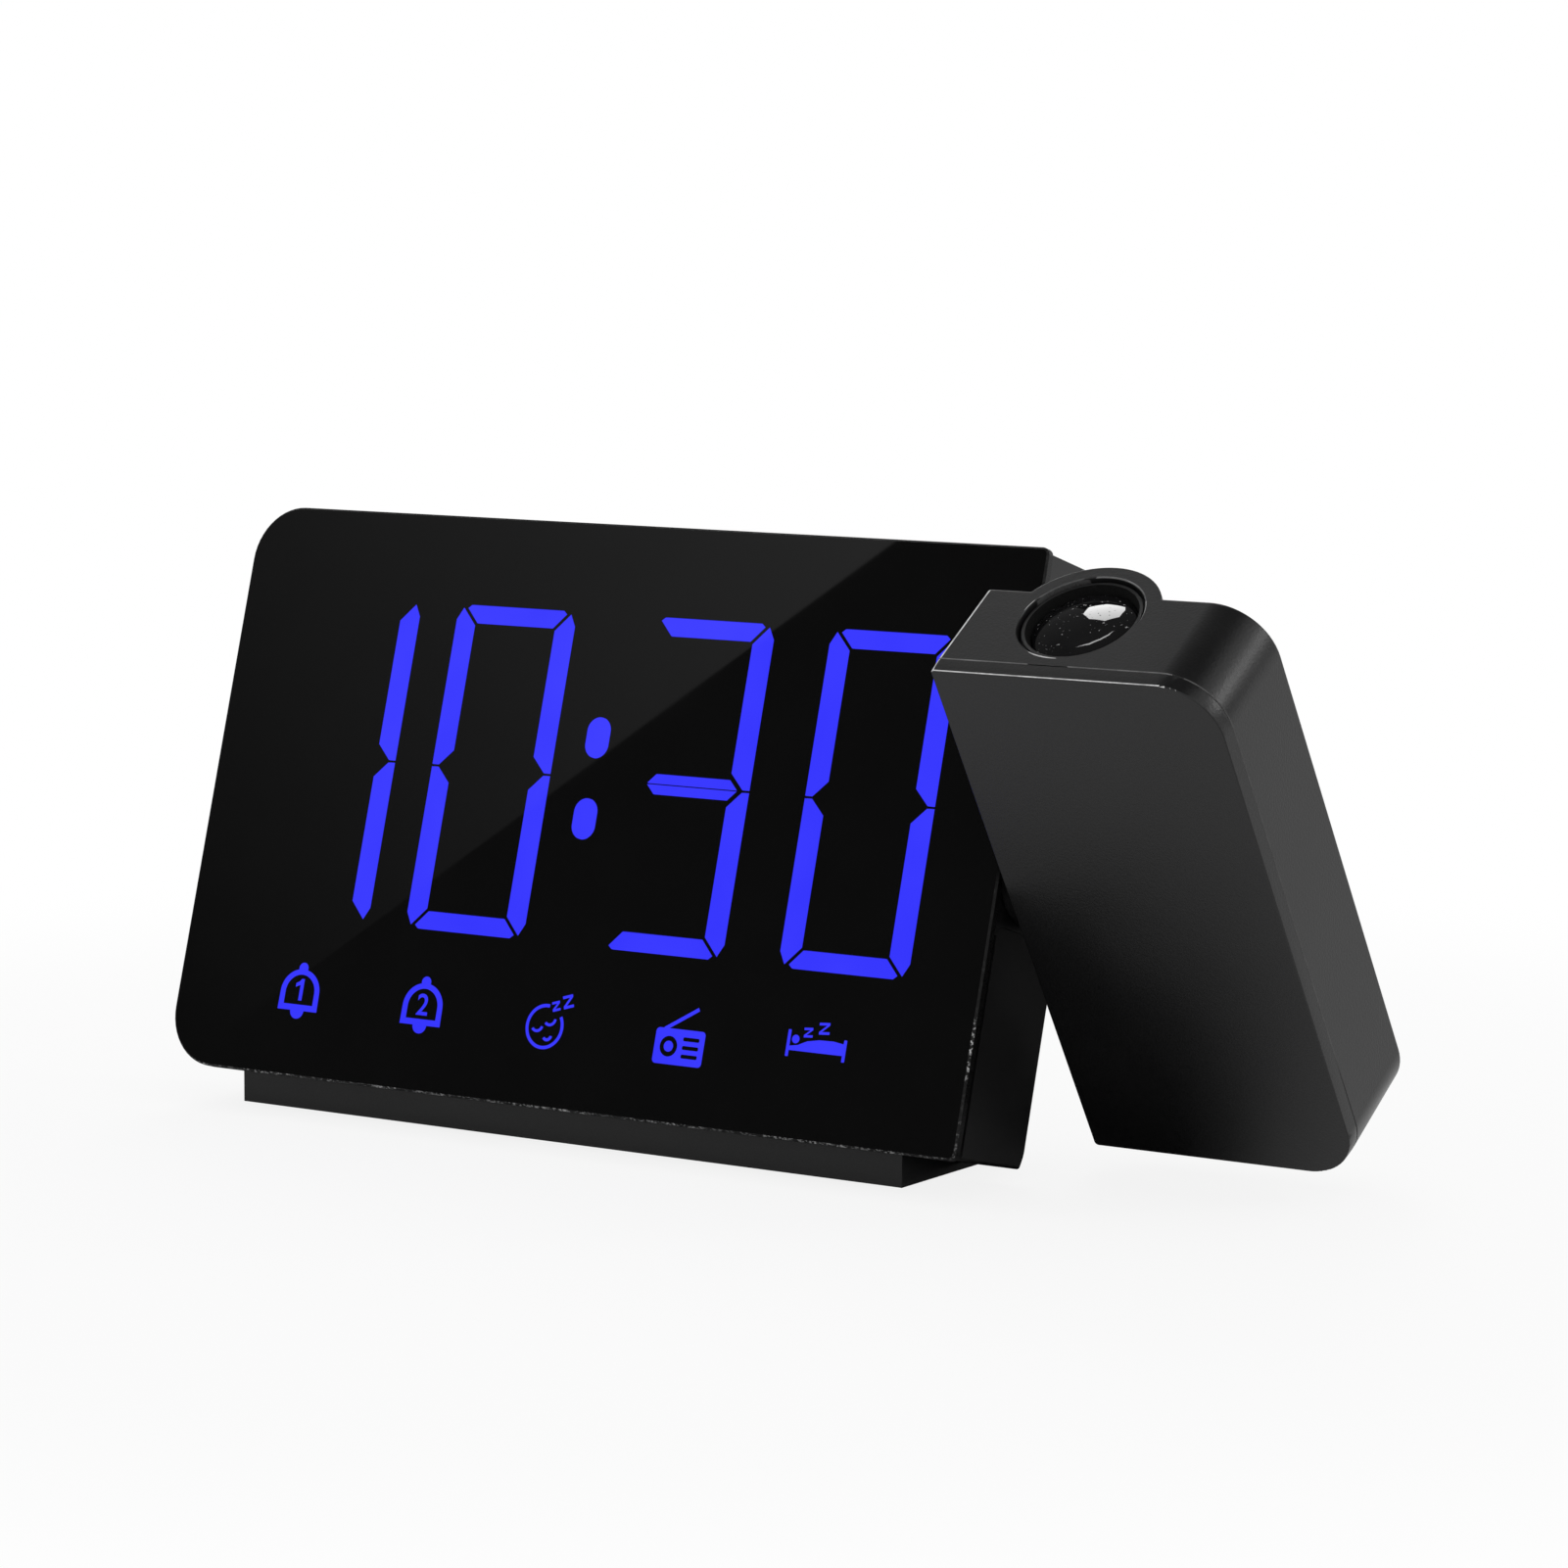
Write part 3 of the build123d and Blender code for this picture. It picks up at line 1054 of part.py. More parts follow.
def rear_lens_seat():
    """Height of the underside of the ledge that the rear lens is pressed against."""
    return ARM_TOP - BARREL_DROP - BARREL_LEN + REAR_LENS_UP + REAR_LENS_EDGE


def lens_barrel():
    """The sliding barrel, with seats for two lenses and its key."""
    top = ARM_TOP - BARREL_DROP
    inner = BARREL_R - BARREL_WALL
    barrel = ring_z((top - BARREL_LEN, top), BARREL_R, inner)
    for ledge in (front_lens_seat() - LEDGE_T, rear_lens_seat()):
        barrel += ring_z((ledge, ledge + LEDGE_T), BARREL_R - BARREL_FIT, inner - LEDGE_W)
    key_top = BEZEL_SEAT - FOCUS_TRAVEL - 2 * MOVING
    key = slab((LENS_X + inner + BARREL_FIT, LENS_X + KEYWAY_R - BARREL_FIT),
               around(LENS_Y, KEYWAY_W), (key_top - BARREL_KEY_LEN, key_top))
    return barrel + key


def front_lens():
    """The front lens, its edge just inside the rim of the barrel."""
    return lens(front_lens_seat(), BARREL_R - BARREL_WALL - FIT, FRONT_LENS_EDGE, FRONT_LENS_RISE, 0)


def rear_lens():
    """The rear lens, at the bottom of the barrel."""
    return lens(rear_lens_seat() - REAR_LENS_EDGE, BARREL_R - BARREL_WALL - FIT, REAR_LENS_EDGE,
                0, REAR_LENS_RISE)


def focus_wheel():
    """The ribbed wheel that drives the barrel."""
    wheel = ring_z((WHEEL_Z, WHEEL_Z + WHEEL_T), WHEEL_R, BARREL_R + RUNNING)
    groove = Pos(WHEEL_R + WHEEL_TOOTH_R / 2, 0, 0) * Cylinder(WHEEL_TOOTH_R, WHEEL_T + 2)
    centre = Pos(LENS_X, LENS_Y, WHEEL_Z + WHEEL_T / 2)
    step = 360 / WHEEL_TEETH
    return wheel - [centre * Rot(0, 0, step * i) * groove for i in range(WHEEL_TEETH)]


def light_tube():
    """The fixed tube that holds the picture panel and condenser over the lamp."""
    low, high = TUBE_Z
    inner = TUBE_R - TUBE_WALL
    tube = ring_z((low, high), TUBE_R, inner)
    tube += ring_z((high - TUBE_LIP_T, high), TUBE_LIP_R, inner)
    tube += ring_z((LCD_Z - LEDGE_T, LCD_Z), TUBE_R - BARREL_FIT, inner - 2 * LEDGE_W)
    return tube + ring_z((CONDENSER_Z - LEDGE_T, CONDENSER_Z), TUBE_R - BARREL_FIT, inner - LEDGE_W)


def image_panel():
    """The small picture panel whose light is thrown through the lenses."""
    return slab(around(LENS_X, LCD_W), around(LENS_Y, LCD_W), (LCD_Z, LCD_Z + LCD_T))


def condenser_lens():
    """The lens that gathers the lamp's light."""
    return lens(CONDENSER_Z, TUBE_R - TUBE_WALL - FIT, CONDENSER_EDGE, CONDENSER_RISE, 0)


def lamp_board():
    """The round board that closes the foot of the light tube."""
    low = TUBE_Z[0]
    return rod_z(LENS_X, LENS_Y, (low - LED_BOARD_T, low), TUBE_R)


def projector_lamp():
    """The lamp on its board."""
    low = TUBE_Z[0]
    return slab(around(LENS_X, LAMP_W), around(LENS_Y, LAMP_W), (low, low + LAMP_T))


def arm_board():
    """The arm's driver board, on two posts."""
    board = slab(ARM_BOARD_X, (ARM_BOARD_Y, ARM_BOARD_Y + BOARD_T), ARM_BOARD_Z)
    return fillet(board.edges().filter_by(Axis.Y), BOARD_CORNER_R)


# ---- stand ----------------------------------------------------------------------------------
def leaned(shape):
    """Upright to world: lean back about the panel's bottom edge, then lift."""
    return Pos(0, 0, PANEL_LIFT) * Rot(-LEAN, 0, 0) * shape


def stand_block():
    """The stand's outside in the world frame, before the body is let into it."""
    heel_y = lean_y(BODY_D, HEEL_TOP)
    heel_z = lean_z(BODY_D, HEEL_TOP)
    side = outline([
        (FOOT_FRONT, FOOT_LIFT), (FOOT_END, FOOT_LIFT), (FOOT_END, FOOT_LIFT + HEEL_TIP),
        (heel_y + HEEL_SHELF[1], heel_z), (heel_y - HEEL_SHELF[0], heel_z), (FOOT_FRONT, PANEL_LIFT),
    ])
    block = side_view(side, FOOT_X)
    tip = [e for e in block.edges().filter_by(Axis.X)
           if abs(e.center().Y - FOOT_END) < 0.1 and e.center().Z > FOOT_LIFT + 1]
    return fillet(tip, HEEL_R)


def stand_foot():
    """The wedge that the body stands on, with its heel, screw holes and pad recesses."""
    below = -(PANEL_LIFT + BODY_D)
    body_room = body_form(-FIT / 2, (-PANEL_T, BODY_D))
    notch = slab(FOOT_X, (NOTCH_Y, BODY_D + 1), (below, NOTCH_Z))
    foot = stand_block() - leaned(body_room - notch)
    for x in FOOT_SCREW_XS:
        hole = rod_z(x, FOOT_SCREW_Y, (below, NOTCH_Z), SCREW_R + HEAD_ROOM)
        bore = rod_z(x, FOOT_SCREW_Y, (below, -FOOT_SCREW_SEAT), SCREW_HEAD_R + HEAD_ROOM)
        foot = foot - leaned(hole) - leaned(bore)
    for x in PAD_XS:
        for y in PAD_YS:
            foot -= rod_z(x, y, (0, PAD_T), PAD_R + FIT)
    return foot


def foot_screws():
    """The screws that hold the stand to the shell."""
    seat = -FOOT_SCREW_SEAT
    screws = []
    for x in FOOT_SCREW_XS:
        screw = rod_z(x, FOOT_SCREW_Y, (seat - FOOT_SCREW_HEAD_T, seat), SCREW_HEAD_R)
        screw += rod_z(x, FOOT_SCREW_Y, (seat, seat + FOOT_SCREW_LEN), SCREW_R)
        screws.append(leaned(screw))
    return group(screws)


def rubber_feet():
    """The four pads that the clock stands on."""
    pads = []
    for x in PAD_XS:
        for y in PAD_YS:
            pad = rod_z(x, y, (0, PAD_T), PAD_R)
            pads.append(chamfer(pad.faces().sort_by(Axis.Z)[0].edges(), PAD_EDGE))
    return group(pads)


# ---- assembly -------------------------------------------------------------------------------
UPRIGHT = {
    "front_panel": front_panel, "display_segments": display_segments, "front_frame": front_frame,
    "light_box": light_box, "led_chips": led_chips, "main_board": main_board,
    "clock_chip": clock_chip, "tact_switches": tact_switches, "rear_shell": rear_shell,
    "shell_screws": shell_screws, "speaker": speaker, "battery_door": battery_door,
    "door_screw": door_screw, "coin_cell": coin_cell, "cell_contact": cell_contact,
    "usb_port": usb_port, "dc_jack": dc_jack, "antenna_gland": antenna_gland,
    "snooze_bar": snooze_bar, "hinge_cover": hinge_cover, "hinge_bush": hinge_bush,
    "pivot_washer": pivot_washer, "wave_washer": wave_washer,
}
ARM = {
    "pivot_shaft": pivot_shaft, "shaft_nut": shaft_nut, "arm_front_cover": arm_front_cover,
    "arm_rear_shell": arm_rear_shell, "arm_screws": arm_screws, "lens_bezel": lens_bezel,
    "lens_barrel": lens_barrel, "front_lens": front_lens, "rear_lens": rear_lens,
    "focus_wheel": focus_wheel, "light_tube": light_tube, "image_panel": image_panel,
    "condenser_lens": condenser_lens, "lamp_board": lamp_board,
    "projector_lamp": projector_lamp, "arm_board": arm_board,
}
WORLD = {"stand_foot": stand_foot, "foot_screws": foot_screws, "rubber_feet": rubber_feet}


def main():
    """Writes every piece, in place, to parts/."""
    os.makedirs("parts", exist_ok=True)
    home = Pos(-ORIGIN[0], -ORIGIN[1], 0)
    stand = home * Pos(0, 0, PANEL_LIFT) * Rot(-LEAN, 0, 0)
    turn = Pos(0, PIVOT_Y, PIVOT_Z) * Rot(ARM_OPEN, 0, 0) * Pos(0, -PIVOT_Y, -PIVOT_Z)
    pieces = {name: stand * make() for name, make in UPRIGHT.items()}
    pieces |= {f"rear_key_{i + 1}": stand * rear_key(x) for i, x in enumerate(KEY_XS)}
    pieces |= {name: stand * turn * make() for name, make in ARM.items()}
    pieces |= {name: home * make() for name, make in WORLD.items()}
    for name, piece in pieces.items():
        export_step(piece, f"parts/{name}.step")
    pivot = (ARM_LEFT - ORIGIN[0], lean_y(PIVOT_Y, PIVOT_Z) - ORIGIN[1], lean_z(PIVOT_Y, PIVOT_Z))
    print("pivot", [round(v, 4) for v in pivot])
    print("origin", [round(v, 4) for v in ORIGIN])


main()
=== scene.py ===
import json
import math

import bpy
from mathutils import Matrix, Vector

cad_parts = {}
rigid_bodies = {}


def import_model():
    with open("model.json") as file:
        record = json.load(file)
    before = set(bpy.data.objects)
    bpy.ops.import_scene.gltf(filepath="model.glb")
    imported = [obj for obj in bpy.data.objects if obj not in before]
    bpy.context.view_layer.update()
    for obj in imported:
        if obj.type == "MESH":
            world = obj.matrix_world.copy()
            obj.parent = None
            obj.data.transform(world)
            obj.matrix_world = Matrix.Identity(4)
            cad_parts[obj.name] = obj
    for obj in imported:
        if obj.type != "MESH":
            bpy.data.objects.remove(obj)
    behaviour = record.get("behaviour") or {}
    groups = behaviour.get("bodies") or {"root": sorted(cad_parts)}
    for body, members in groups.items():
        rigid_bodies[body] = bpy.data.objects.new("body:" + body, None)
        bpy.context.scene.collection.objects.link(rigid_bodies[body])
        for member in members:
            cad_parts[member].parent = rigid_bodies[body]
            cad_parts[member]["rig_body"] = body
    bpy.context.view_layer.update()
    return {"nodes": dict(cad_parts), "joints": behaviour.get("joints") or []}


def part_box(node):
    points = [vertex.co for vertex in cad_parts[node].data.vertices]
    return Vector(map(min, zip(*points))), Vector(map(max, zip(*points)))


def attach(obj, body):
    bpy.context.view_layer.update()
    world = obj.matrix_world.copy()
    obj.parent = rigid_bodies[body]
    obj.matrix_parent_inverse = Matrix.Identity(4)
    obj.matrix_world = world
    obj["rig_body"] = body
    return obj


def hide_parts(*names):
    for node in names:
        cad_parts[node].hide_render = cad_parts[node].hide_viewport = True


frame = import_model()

mm = 0.001
nodes = frame["nodes"]
joints = {joint["name"]: joint for joint in frame["joints"]}
print("frame loaded:", len(nodes), "nodes")

# places on the clock, from the frame
faceOut = Vector(joints["key_1_press"]["axis"])          # the keys are pressed towards the front
faceUp = -Vector(joints["snooze_press"]["axis"])
armUp = Vector(joints["focus_turn"]["axis"])
armBack = armUp.cross(Vector((1, 0, 0)))
pivot = Vector(joints["arm_turn"]["pos_m"])

clock = {
    "pivotHeight": 43.6,     # of the arm's pivot above the panel's lower edge, along the panel
    "pivotDepth": 10.85,     # and behind the panel's face
    "lensDepth": 2.4,        # lens axis behind the pivot, in the arm
    "panelHeight": 87.2,
    "panelCorner": 9.0,      # no edge face of the panel lies further in than this
    "faceSlant": 0.95, "sideSlant": 0.2,     # cosines of its faces' normals to its own
}
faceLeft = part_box("front_panel")[0].x
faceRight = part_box("front_panel")[1].x
faceCorner = pivot - faceUp * clock["pivotHeight"] * mm + faceOut * clock["pivotDepth"] * mm
faceCorner.x = faceLeft
lensFoot = Vector((sum(corner.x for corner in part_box("front_lens")) / 2, pivot.y, pivot.z))
lensFoot = lensFoot + armBack * clock["lensDepth"] * mm


def onFace(x, up, out=0.0):
    # a point of the panel's face: millimetres from its left lower corner, and proud of it
    return faceCorner + Vector((x * mm, 0, 0)) + faceUp * up * mm + faceOut * out * mm


def faceFrame(x, up, out=0.0):
    # local X to the right, Y up the panel, Z out of it
    turn = Matrix((Vector((1, 0, 0)), faceUp, faceOut)).transposed().to_4x4()
    return Matrix.Translation(onFace(x, up, out)) @ turn


def lensFrame(height):
    # local Z along the lens axis, with its origin this many millimetres above the pivot
    turn = Matrix((Vector((1, 0, 0)), armBack, armUp)).transposed().to_4x4()
    return Matrix.Translation(lensFoot + armUp * height * mm) @ turn


def deselectAll():
    if bpy.context.object and bpy.context.object.mode != "OBJECT":
        bpy.ops.object.mode_set(mode="OBJECT")
    bpy.ops.object.select_all(action="DESELECT")


def activate(piece):
    deselectAll()
    piece.select_set(True)
    bpy.context.view_layer.objects.active = piece


def editOnly(piece, kind, wanted):
    # goes into edit mode with only the wanted faces or edges selected
    activate(piece)
    bpy.ops.object.mode_set(mode="EDIT")
    bpy.ops.mesh.select_mode(type=kind)
    bpy.ops.mesh.select_all(action="DESELECT")
    bpy.ops.object.mode_set(mode="OBJECT")
    for element in piece.data.polygons if kind == "FACE" else piece.data.edges:
        element.select = wanted(element)
    bpy.ops.object.mode_set(mode="EDIT")


def finishEdit():
    bpy.ops.object.mode_set(mode="OBJECT")


def placed(piece, matrix):
    # moves a mesh modelled about the origin in millimetres to its place, in its vertices
    piece.data.transform(matrix @ Matrix.Diagonal((mm, mm, mm, 1)))
    piece.matrix_world = Matrix.Identity(4)
    piece.data.update()


def joined(pieces, name):
    activate(pieces[0])
    for piece in pieces:
        piece.select_set(True)
    bpy.ops.object.join()
    pieces[0].name = name
    return pieces[0]


def dress(piece, material):
    piece.data.materials.clear()
    piece.data.materials.append(material)


rampScale = 10.0             # what a ramp over a length is fed with: its 1 stands for 0.1 m


def newMaterial(name):
    material = bpy.data.materials.new(name)
    material.use_nodes = True
    tree = material.node_tree
    return material, tree, tree.nodes["Principled BSDF"]


def feed(tree, socket, value):
    # a socket takes another node's output or a plain value
    if isinstance(value, bpy.types.NodeSocket):
        tree.links.new(value, socket)
    else:
        socket.default_value = value


def addNode(tree, kind, **settings):
    # the settings are the node's properties, or what its inputs take
    node = tree.nodes.new("ShaderNode" + kind)
    for key, value in settings.items():
        if key in node.inputs:
            feed(tree, node.inputs[key], value)
        else:
            setattr(node, key, value)
    return node


def setInputs(tree, node, values):
    for key, value in values.items():
        feed(tree, node.inputs[key], value)


def maths(tree, operation, *terms, kind="Math"):
    node = addNode(tree, kind, operation=operation)
    for socket, term in zip(node.inputs, terms):
        feed(tree, socket, term)
    return node.outputs[0]


def mapRange(tree, value, source=(0.0, 1.0), result=(0.0, 1.0), **settings):
    node = addNode(tree, "MapRange", Value=value, **settings)
    setInputs(tree, node, {"From Min": source[0], "From Max": source[1],
                           "To Min": result[0], "To Max": result[1]})
    return node.outputs["Result"]


def smoothRange(tree, value, source, result=(0.0, 1.0)):
    return mapRange(tree, value, source, result, interpolation_type="SMOOTHSTEP")


def colourRamp(tree, source, *stops):
    # a ramp of (place, grey or colour) stops
    ramp = tree.nodes.new("ShaderNodeValToRGB")
    band = ramp.color_ramp
    while len(band.elements) < len(stops):
        band.elements.new(0.5)
    for element, (place, colour) in zip(band.elements, stops):
        element.position = place
        element.color = (*(colour if isinstance(colour, tuple) else (colour,) * 3), 1)
    feed(tree, ramp.inputs["Fac"], source)
    return ramp.outputs["Color"]


def mixed(tree, share, first, second, **settings):
    mix = addNode(tree, "Mix", data_type="RGBA", **settings)
    for index, value in ((0, share), (6, first), (7, second)):     # the sockets for colours
        feed(tree, mix.inputs[index], value)
    return mix.outputs[2]


def coordinate(tree, kind="Object", axis=None):
    # a piece's own coordinates, or one of them
    place = addNode(tree, "TexCoord").outputs[kind]
    return addNode(tree, "SeparateXYZ", Vector=place).outputs[axis] if axis else place


def vectorLength(tree, vector):
    return addNode(tree, "VectorMath", operation="LENGTH", Vector=vector).outputs["Value"]


def noise(tree, scale, detail, roughness, place=None):
    place = coordinate(tree) if place is None else place
    return addNode(tree, "TexNoise", Vector=place, Scale=scale, Detail=detail,
                   Roughness=roughness).outputs["Fac"]


def bumped(tree, height, strength, distance):
    return addNode(tree, "Bump", Height=height, Strength=strength,
                   Distance=distance).outputs["Normal"]


def mouldedPlastic(name, look):
    # spark-eroded mould finish: fine grain in the bump, soft cloudy changes of sheen and tone
    material, tree, shader = newMaterial(name)
    grain = noise(tree, look["grainScale"], 2.0, 0.6)
    cloud = noise(tree, look["cloudScale"], 3.0, 0.5)
    (dark, light), (low, high) = look["tones"], look["roughness"]
    tone = colourRamp(tree, cloud, (0.35, dark), (0.65, light))
    speck = colourRamp(tree, grain, (0.3, 0.82), (0.7, 1.18))
    setInputs(tree, shader, {
        "Base Color": mixed(tree, 1.0, tone, speck, blend_type="MULTIPLY"),
        "Roughness": colourRamp(tree, cloud, (0.3, low), (0.7, high)),
        "Normal": bumped(tree, grain, look["bump"], 0.00004), "IOR": look["ior"]})
    return material


casePlastic = mouldedPlastic("casePlastic", {
    "tones": ((0.005, 0.005, 0.0052), (0.0068, 0.0068, 0.007)),
    "grainScale": 5200.0, "cloudScale": 60.0, "roughness": (0.36, 0.44), "bump": 0.35, "ior": 1.42,
})
armPlastic = mouldedPlastic("armPlastic", {
    "tones": ((0.0062, 0.0062, 0.0064), (0.008, 0.008, 0.0082)),
    "grainScale": 2600.0, "cloudScale": 45.0, "roughness": (0.31, 0.37), "bump": 0.7, "ior": 1.42,
})
footPlastic = mouldedPlastic("footPlastic", {
    "tones": ((0.006, 0.006, 0.0062), (0.008, 0.008, 0.0083)),
    "grainScale": 3600.0, "cloudScale": 70.0, "roughness": (0.42, 0.5), "bump": 0.45, "ior": 1.42,
})
keyPlastic = mouldedPlastic("keyPlastic", {
    "tones": ((0.016, 0.016, 0.017), (0.022, 0.022, 0.023)),
    "grainScale": 3000.0, "cloudScale": 90.0, "roughness": (0.3, 0.4), "bump": 0.25, "ior": 1.45,
})
barrelPlastic = mouldedPlastic("barrelPlastic", {
    "tones": ((0.006, 0.006, 0.0065), (0.009, 0.009, 0.0095)),
    "grainScale": 6000.0, "cloudScale": 120.0, "roughness": (0.3, 0.42), "bump": 0.2, "ior": 1.45,
})
innerPlastic = mouldedPlastic("innerPlastic", {
    "tones": (0.02, 0.03),
    "grainScale": 3000.0, "cloudScale": 80.0, "roughness": (0.5, 0.6), "bump": 0.3, "ior": 1.45,
})
diffuserPlastic = mouldedPlastic("diffuserPlastic", {
    "tones": ((0.72, 0.72, 0.7), (0.8, 0.8, 0.78)),
    "grainScale": 3000.0, "cloudScale": 80.0, "roughness": (0.5, 0.6), "bump": 0.2, "ior": 1.46,
})


def grainedFinish(name, look):
    # one noise carries the tone, and the sheen and the bump where the look has them
    material, tree, shader = newMaterial(name)
    grain = noise(tree, *look["grain"])
    sheen = look["sheen"]
    setInputs(tree, shader, {
        "Base Color": colourRamp(tree, grain, *look["tone"]),
        "Roughness": colourRamp(tree, grain, *sheen) if isinstance(sheen, tuple) else sheen})
    if "bump" in look:
        setInputs(tree, shader, {"Normal": bumped(tree, grain, *look["bump"])})
    if "ior" in look:
        setInputs(tree, shader, {"IOR": look["ior"]})
    return material


# polished black acrylic: deep, nearly flat, with hairline handling marks in its sheen
glossAcrylic = grainedFinish("glossAcrylic", {
    "grain": (90.0, 4.0, 0.55), "tone": ((0.3, 0.0022), (0.7, 0.0028)),
    "sheen": ((0.3, 0.012), (0.75, 0.022)), "ior": 1.49,
})
# the milled side of the panel: dark, with faint cutter marks in its sheen
sideAcrylic = grainedFinish("sideAcrylic", {
    "grain": (700.0, 3.0, 0.6), "tone": ((0.35, 0.002), (0.7, 0.005)),
    "sheen": ((0.3, 0.22), (0.7, 0.36)), "ior": 1.3,
})
# flocked look of the lens well, which gives back almost no light
dullBlack = grainedFinish("dullBlack", {
    "grain": (3000.0, 2.0, 0.6), "tone": ((0.3, 0.0035), (0.7, 0.0065)), "sheen": 0.85, "ior": 1.2,
})
castRubber = grainedFinish("castRubber", {
    "grain": (2200.0, 3.0, 0.6), "tone": ((0.3, 0.012), (0.7, 0.022)), "sheen": 0.8,
    "bump": (0.4, 0.00006),
})


def sawnAcrylic():
    # the broken edges of the panel: dark and rough, with small bright chips
    material, tree, shader = newMaterial("sawnAcrylic")
    chips = noise(tree, 2000.0, 3.0, 0.7)
    height = maths(tree, "MULTIPLY", coordinate(tree, axis="Z"), rampScale)
    knocked = colourRamp(tree, height, (0.05, 0.7), (0.1, 0.15), (0.17, 0.06), (0.185, 0.9),
                         (0.24, 0.9), (0.265, 0.03))         # low down, most of all at 21 mm
    runs = colourRamp(tree, noise(tree, 150.0, 2.0, 0.5), (0.42, 0.25), (0.6, 1.0))
    wearAndShade = maths(tree, "MULTIPLY", knocked, runs)
    both = maths(tree, "MULTIPLY", colourRamp(tree, chips, (0.5, 0.0), (0.6, 1.0)), wearAndShade)
    setInputs(tree, shader, {
        "Base Color": colourRamp(tree, both, (0.0, 0.006), (1.0, 0.75)),
        "Roughness": 0.5, "IOR": 1.25, "Normal": bumped(tree, chips, 0.6, 0.00005)})
    return material


def litWindow():
    # blue light window under the same polish as the panel, its glow a little uneven
    material, tree, shader = newMaterial("litWindow")
    glow = colourRamp(tree, noise(tree, 70.0, 2.0, 0.5),
                      (0.3, (0.034, 0.034, 0.97)), (0.7, (0.042, 0.042, 1.0)))
    setInputs(tree, shader, {
        "Emission Color": glow, "Emission Strength": 1.0, "Base Color": (0.002, 0.002, 0.01, 1),
        "Roughness": 0.035, "IOR": 1.49})
    return material


def clearLens():
    # coated lens drawn opaque: its near-black tone is painted shade for the dark well seen through
    # the glass, with a few dull specks of dust
    material, tree, shader = newMaterial("clearLens")
    dust = noise(tree, 2600.0, 1.0, 0.4)
    lensShadeTone = colourRamp(tree, noise(tree, 130.0, 2.0, 0.5),
                           (0.3, (0.003, 0.003, 0.0032)), (0.7, (0.008, 0.008, 0.0084)))
    dustTone = colourRamp(tree, dust, (0.72, 0.0), (0.79, 0.35))
    setInputs(tree, shader, {
        "Base Color": maths(tree, "ADD", lensShadeTone, dustTone, kind="VectorMath"),
        "Roughness": colourRamp(tree, dust, (0.72, 0.0), (0.8, 0.4)), "IOR": 1.45})
    return material


def burnishedEdge(name, tones, paintedShadeBelow=None):
    # painted highlight: plastic drawn pale and smooth along a sharp edge, a little broken in its
    # length; below a given height its tone is scaled down to painted shade
    material, tree, shader = newMaterial(name)
    highlightBreakup = noise(tree, 420.0, 3.0, 0.65)
    tone = colourRamp(tree, highlightBreakup, (0.32, tones[0]), (0.6, tones[1]))
    if paintedShadeBelow:                            # metres above the table
        # painted shade: below that height the pale tone falls to a twentieth of itself
        fade, least = 0.003, 0.05
        wearAndShade = smoothRange(tree, coordinate(tree, axis="Z"),
                           (paintedShadeBelow - fade, paintedShadeBelow + fade), (least, 1.0))
        tone = addNode(tree, "VectorMath", operation="SCALE", Vector=tone, Scale=wearAndShade).outputs[0]
    setInputs(tree, shader, {
        "Base Color": tone, "Roughness": colourRamp(tree, highlightBreakup, (0.3, 0.3), (0.7, 0.2))})
    return material


def wornMetal(name, colour, roughness):
    # plated or turned metal with fine scratches in its roughness
    material, tree, shader = newMaterial(name)
    stretch = addNode(tree, "Mapping", Vector=coordinate(tree), Scale=(1.0, 1.0, 14.0))
    lines = noise(tree, 900.0, 4.0, 0.6, stretch.outputs["Vector"])
    low, high = roughness
    dim = tuple(0.8 * part for part in colour)
    setInputs(tree, shader, {
        "Base Color": colourRamp(tree, lines, (0.3, dim), (0.7, colour)),
        "Roughness": colourRamp(tree, lines, (0.3, low), (0.7, high)), "Metallic": 1.0})
    return material


def solderMask():
    # circuit board: green mask with paler copper runs under it
    material, tree, shader = newMaterial("solderMask")
    runs = addNode(tree, "TexBrick", Vector=coordinate(tree), Scale=160.0,
                   Color1=(0.01, 0.09, 0.03, 1), Color2=(0.012, 0.12, 0.04, 1),
                   Mortar=(0.02, 0.2, 0.07, 1))
    setInputs(tree, shader, {"Base Color": runs.outputs["Color"], "Roughness": 0.3})
    return material


finishes = {
    "gloss": glossAcrylic, "side": sideAcrylic, "edge": sawnAcrylic(), "lit": litWindow(),
    "lens": clearLens(), "dull": dullBlack, "rubber": castRubber, "board": solderMask(),
    # painted highlights: pale lines on the arm's top edges and its top seam; on the right side's
    # seam rounds, painted light that hides the groove's shade, with painted shade below 20 mm
    "paintedHighlight": burnishedEdge("paintedEdgeHighlight", (0.35, 0.8)),
    "seam": burnishedEdge("seamPaintedHighlight", (0.12, 0.22)),
    "sideSeamSheenAndShade": burnishedEdge("sideSeamSheenAndShade", (0.05, 0.08), 0.02),
    "zinc": wornMetal("zincPlate", (0.6, 0.6, 0.62), (0.25, 0.4)),
    "brass": wornMetal("turnedBrass", (0.7, 0.52, 0.25), (0.2, 0.35)),
    "nickel": wornMetal("nickelPlate", (0.66, 0.65, 0.62), (0.12, 0.28)),
}
print("materials made:", len(bpy.data.materials))

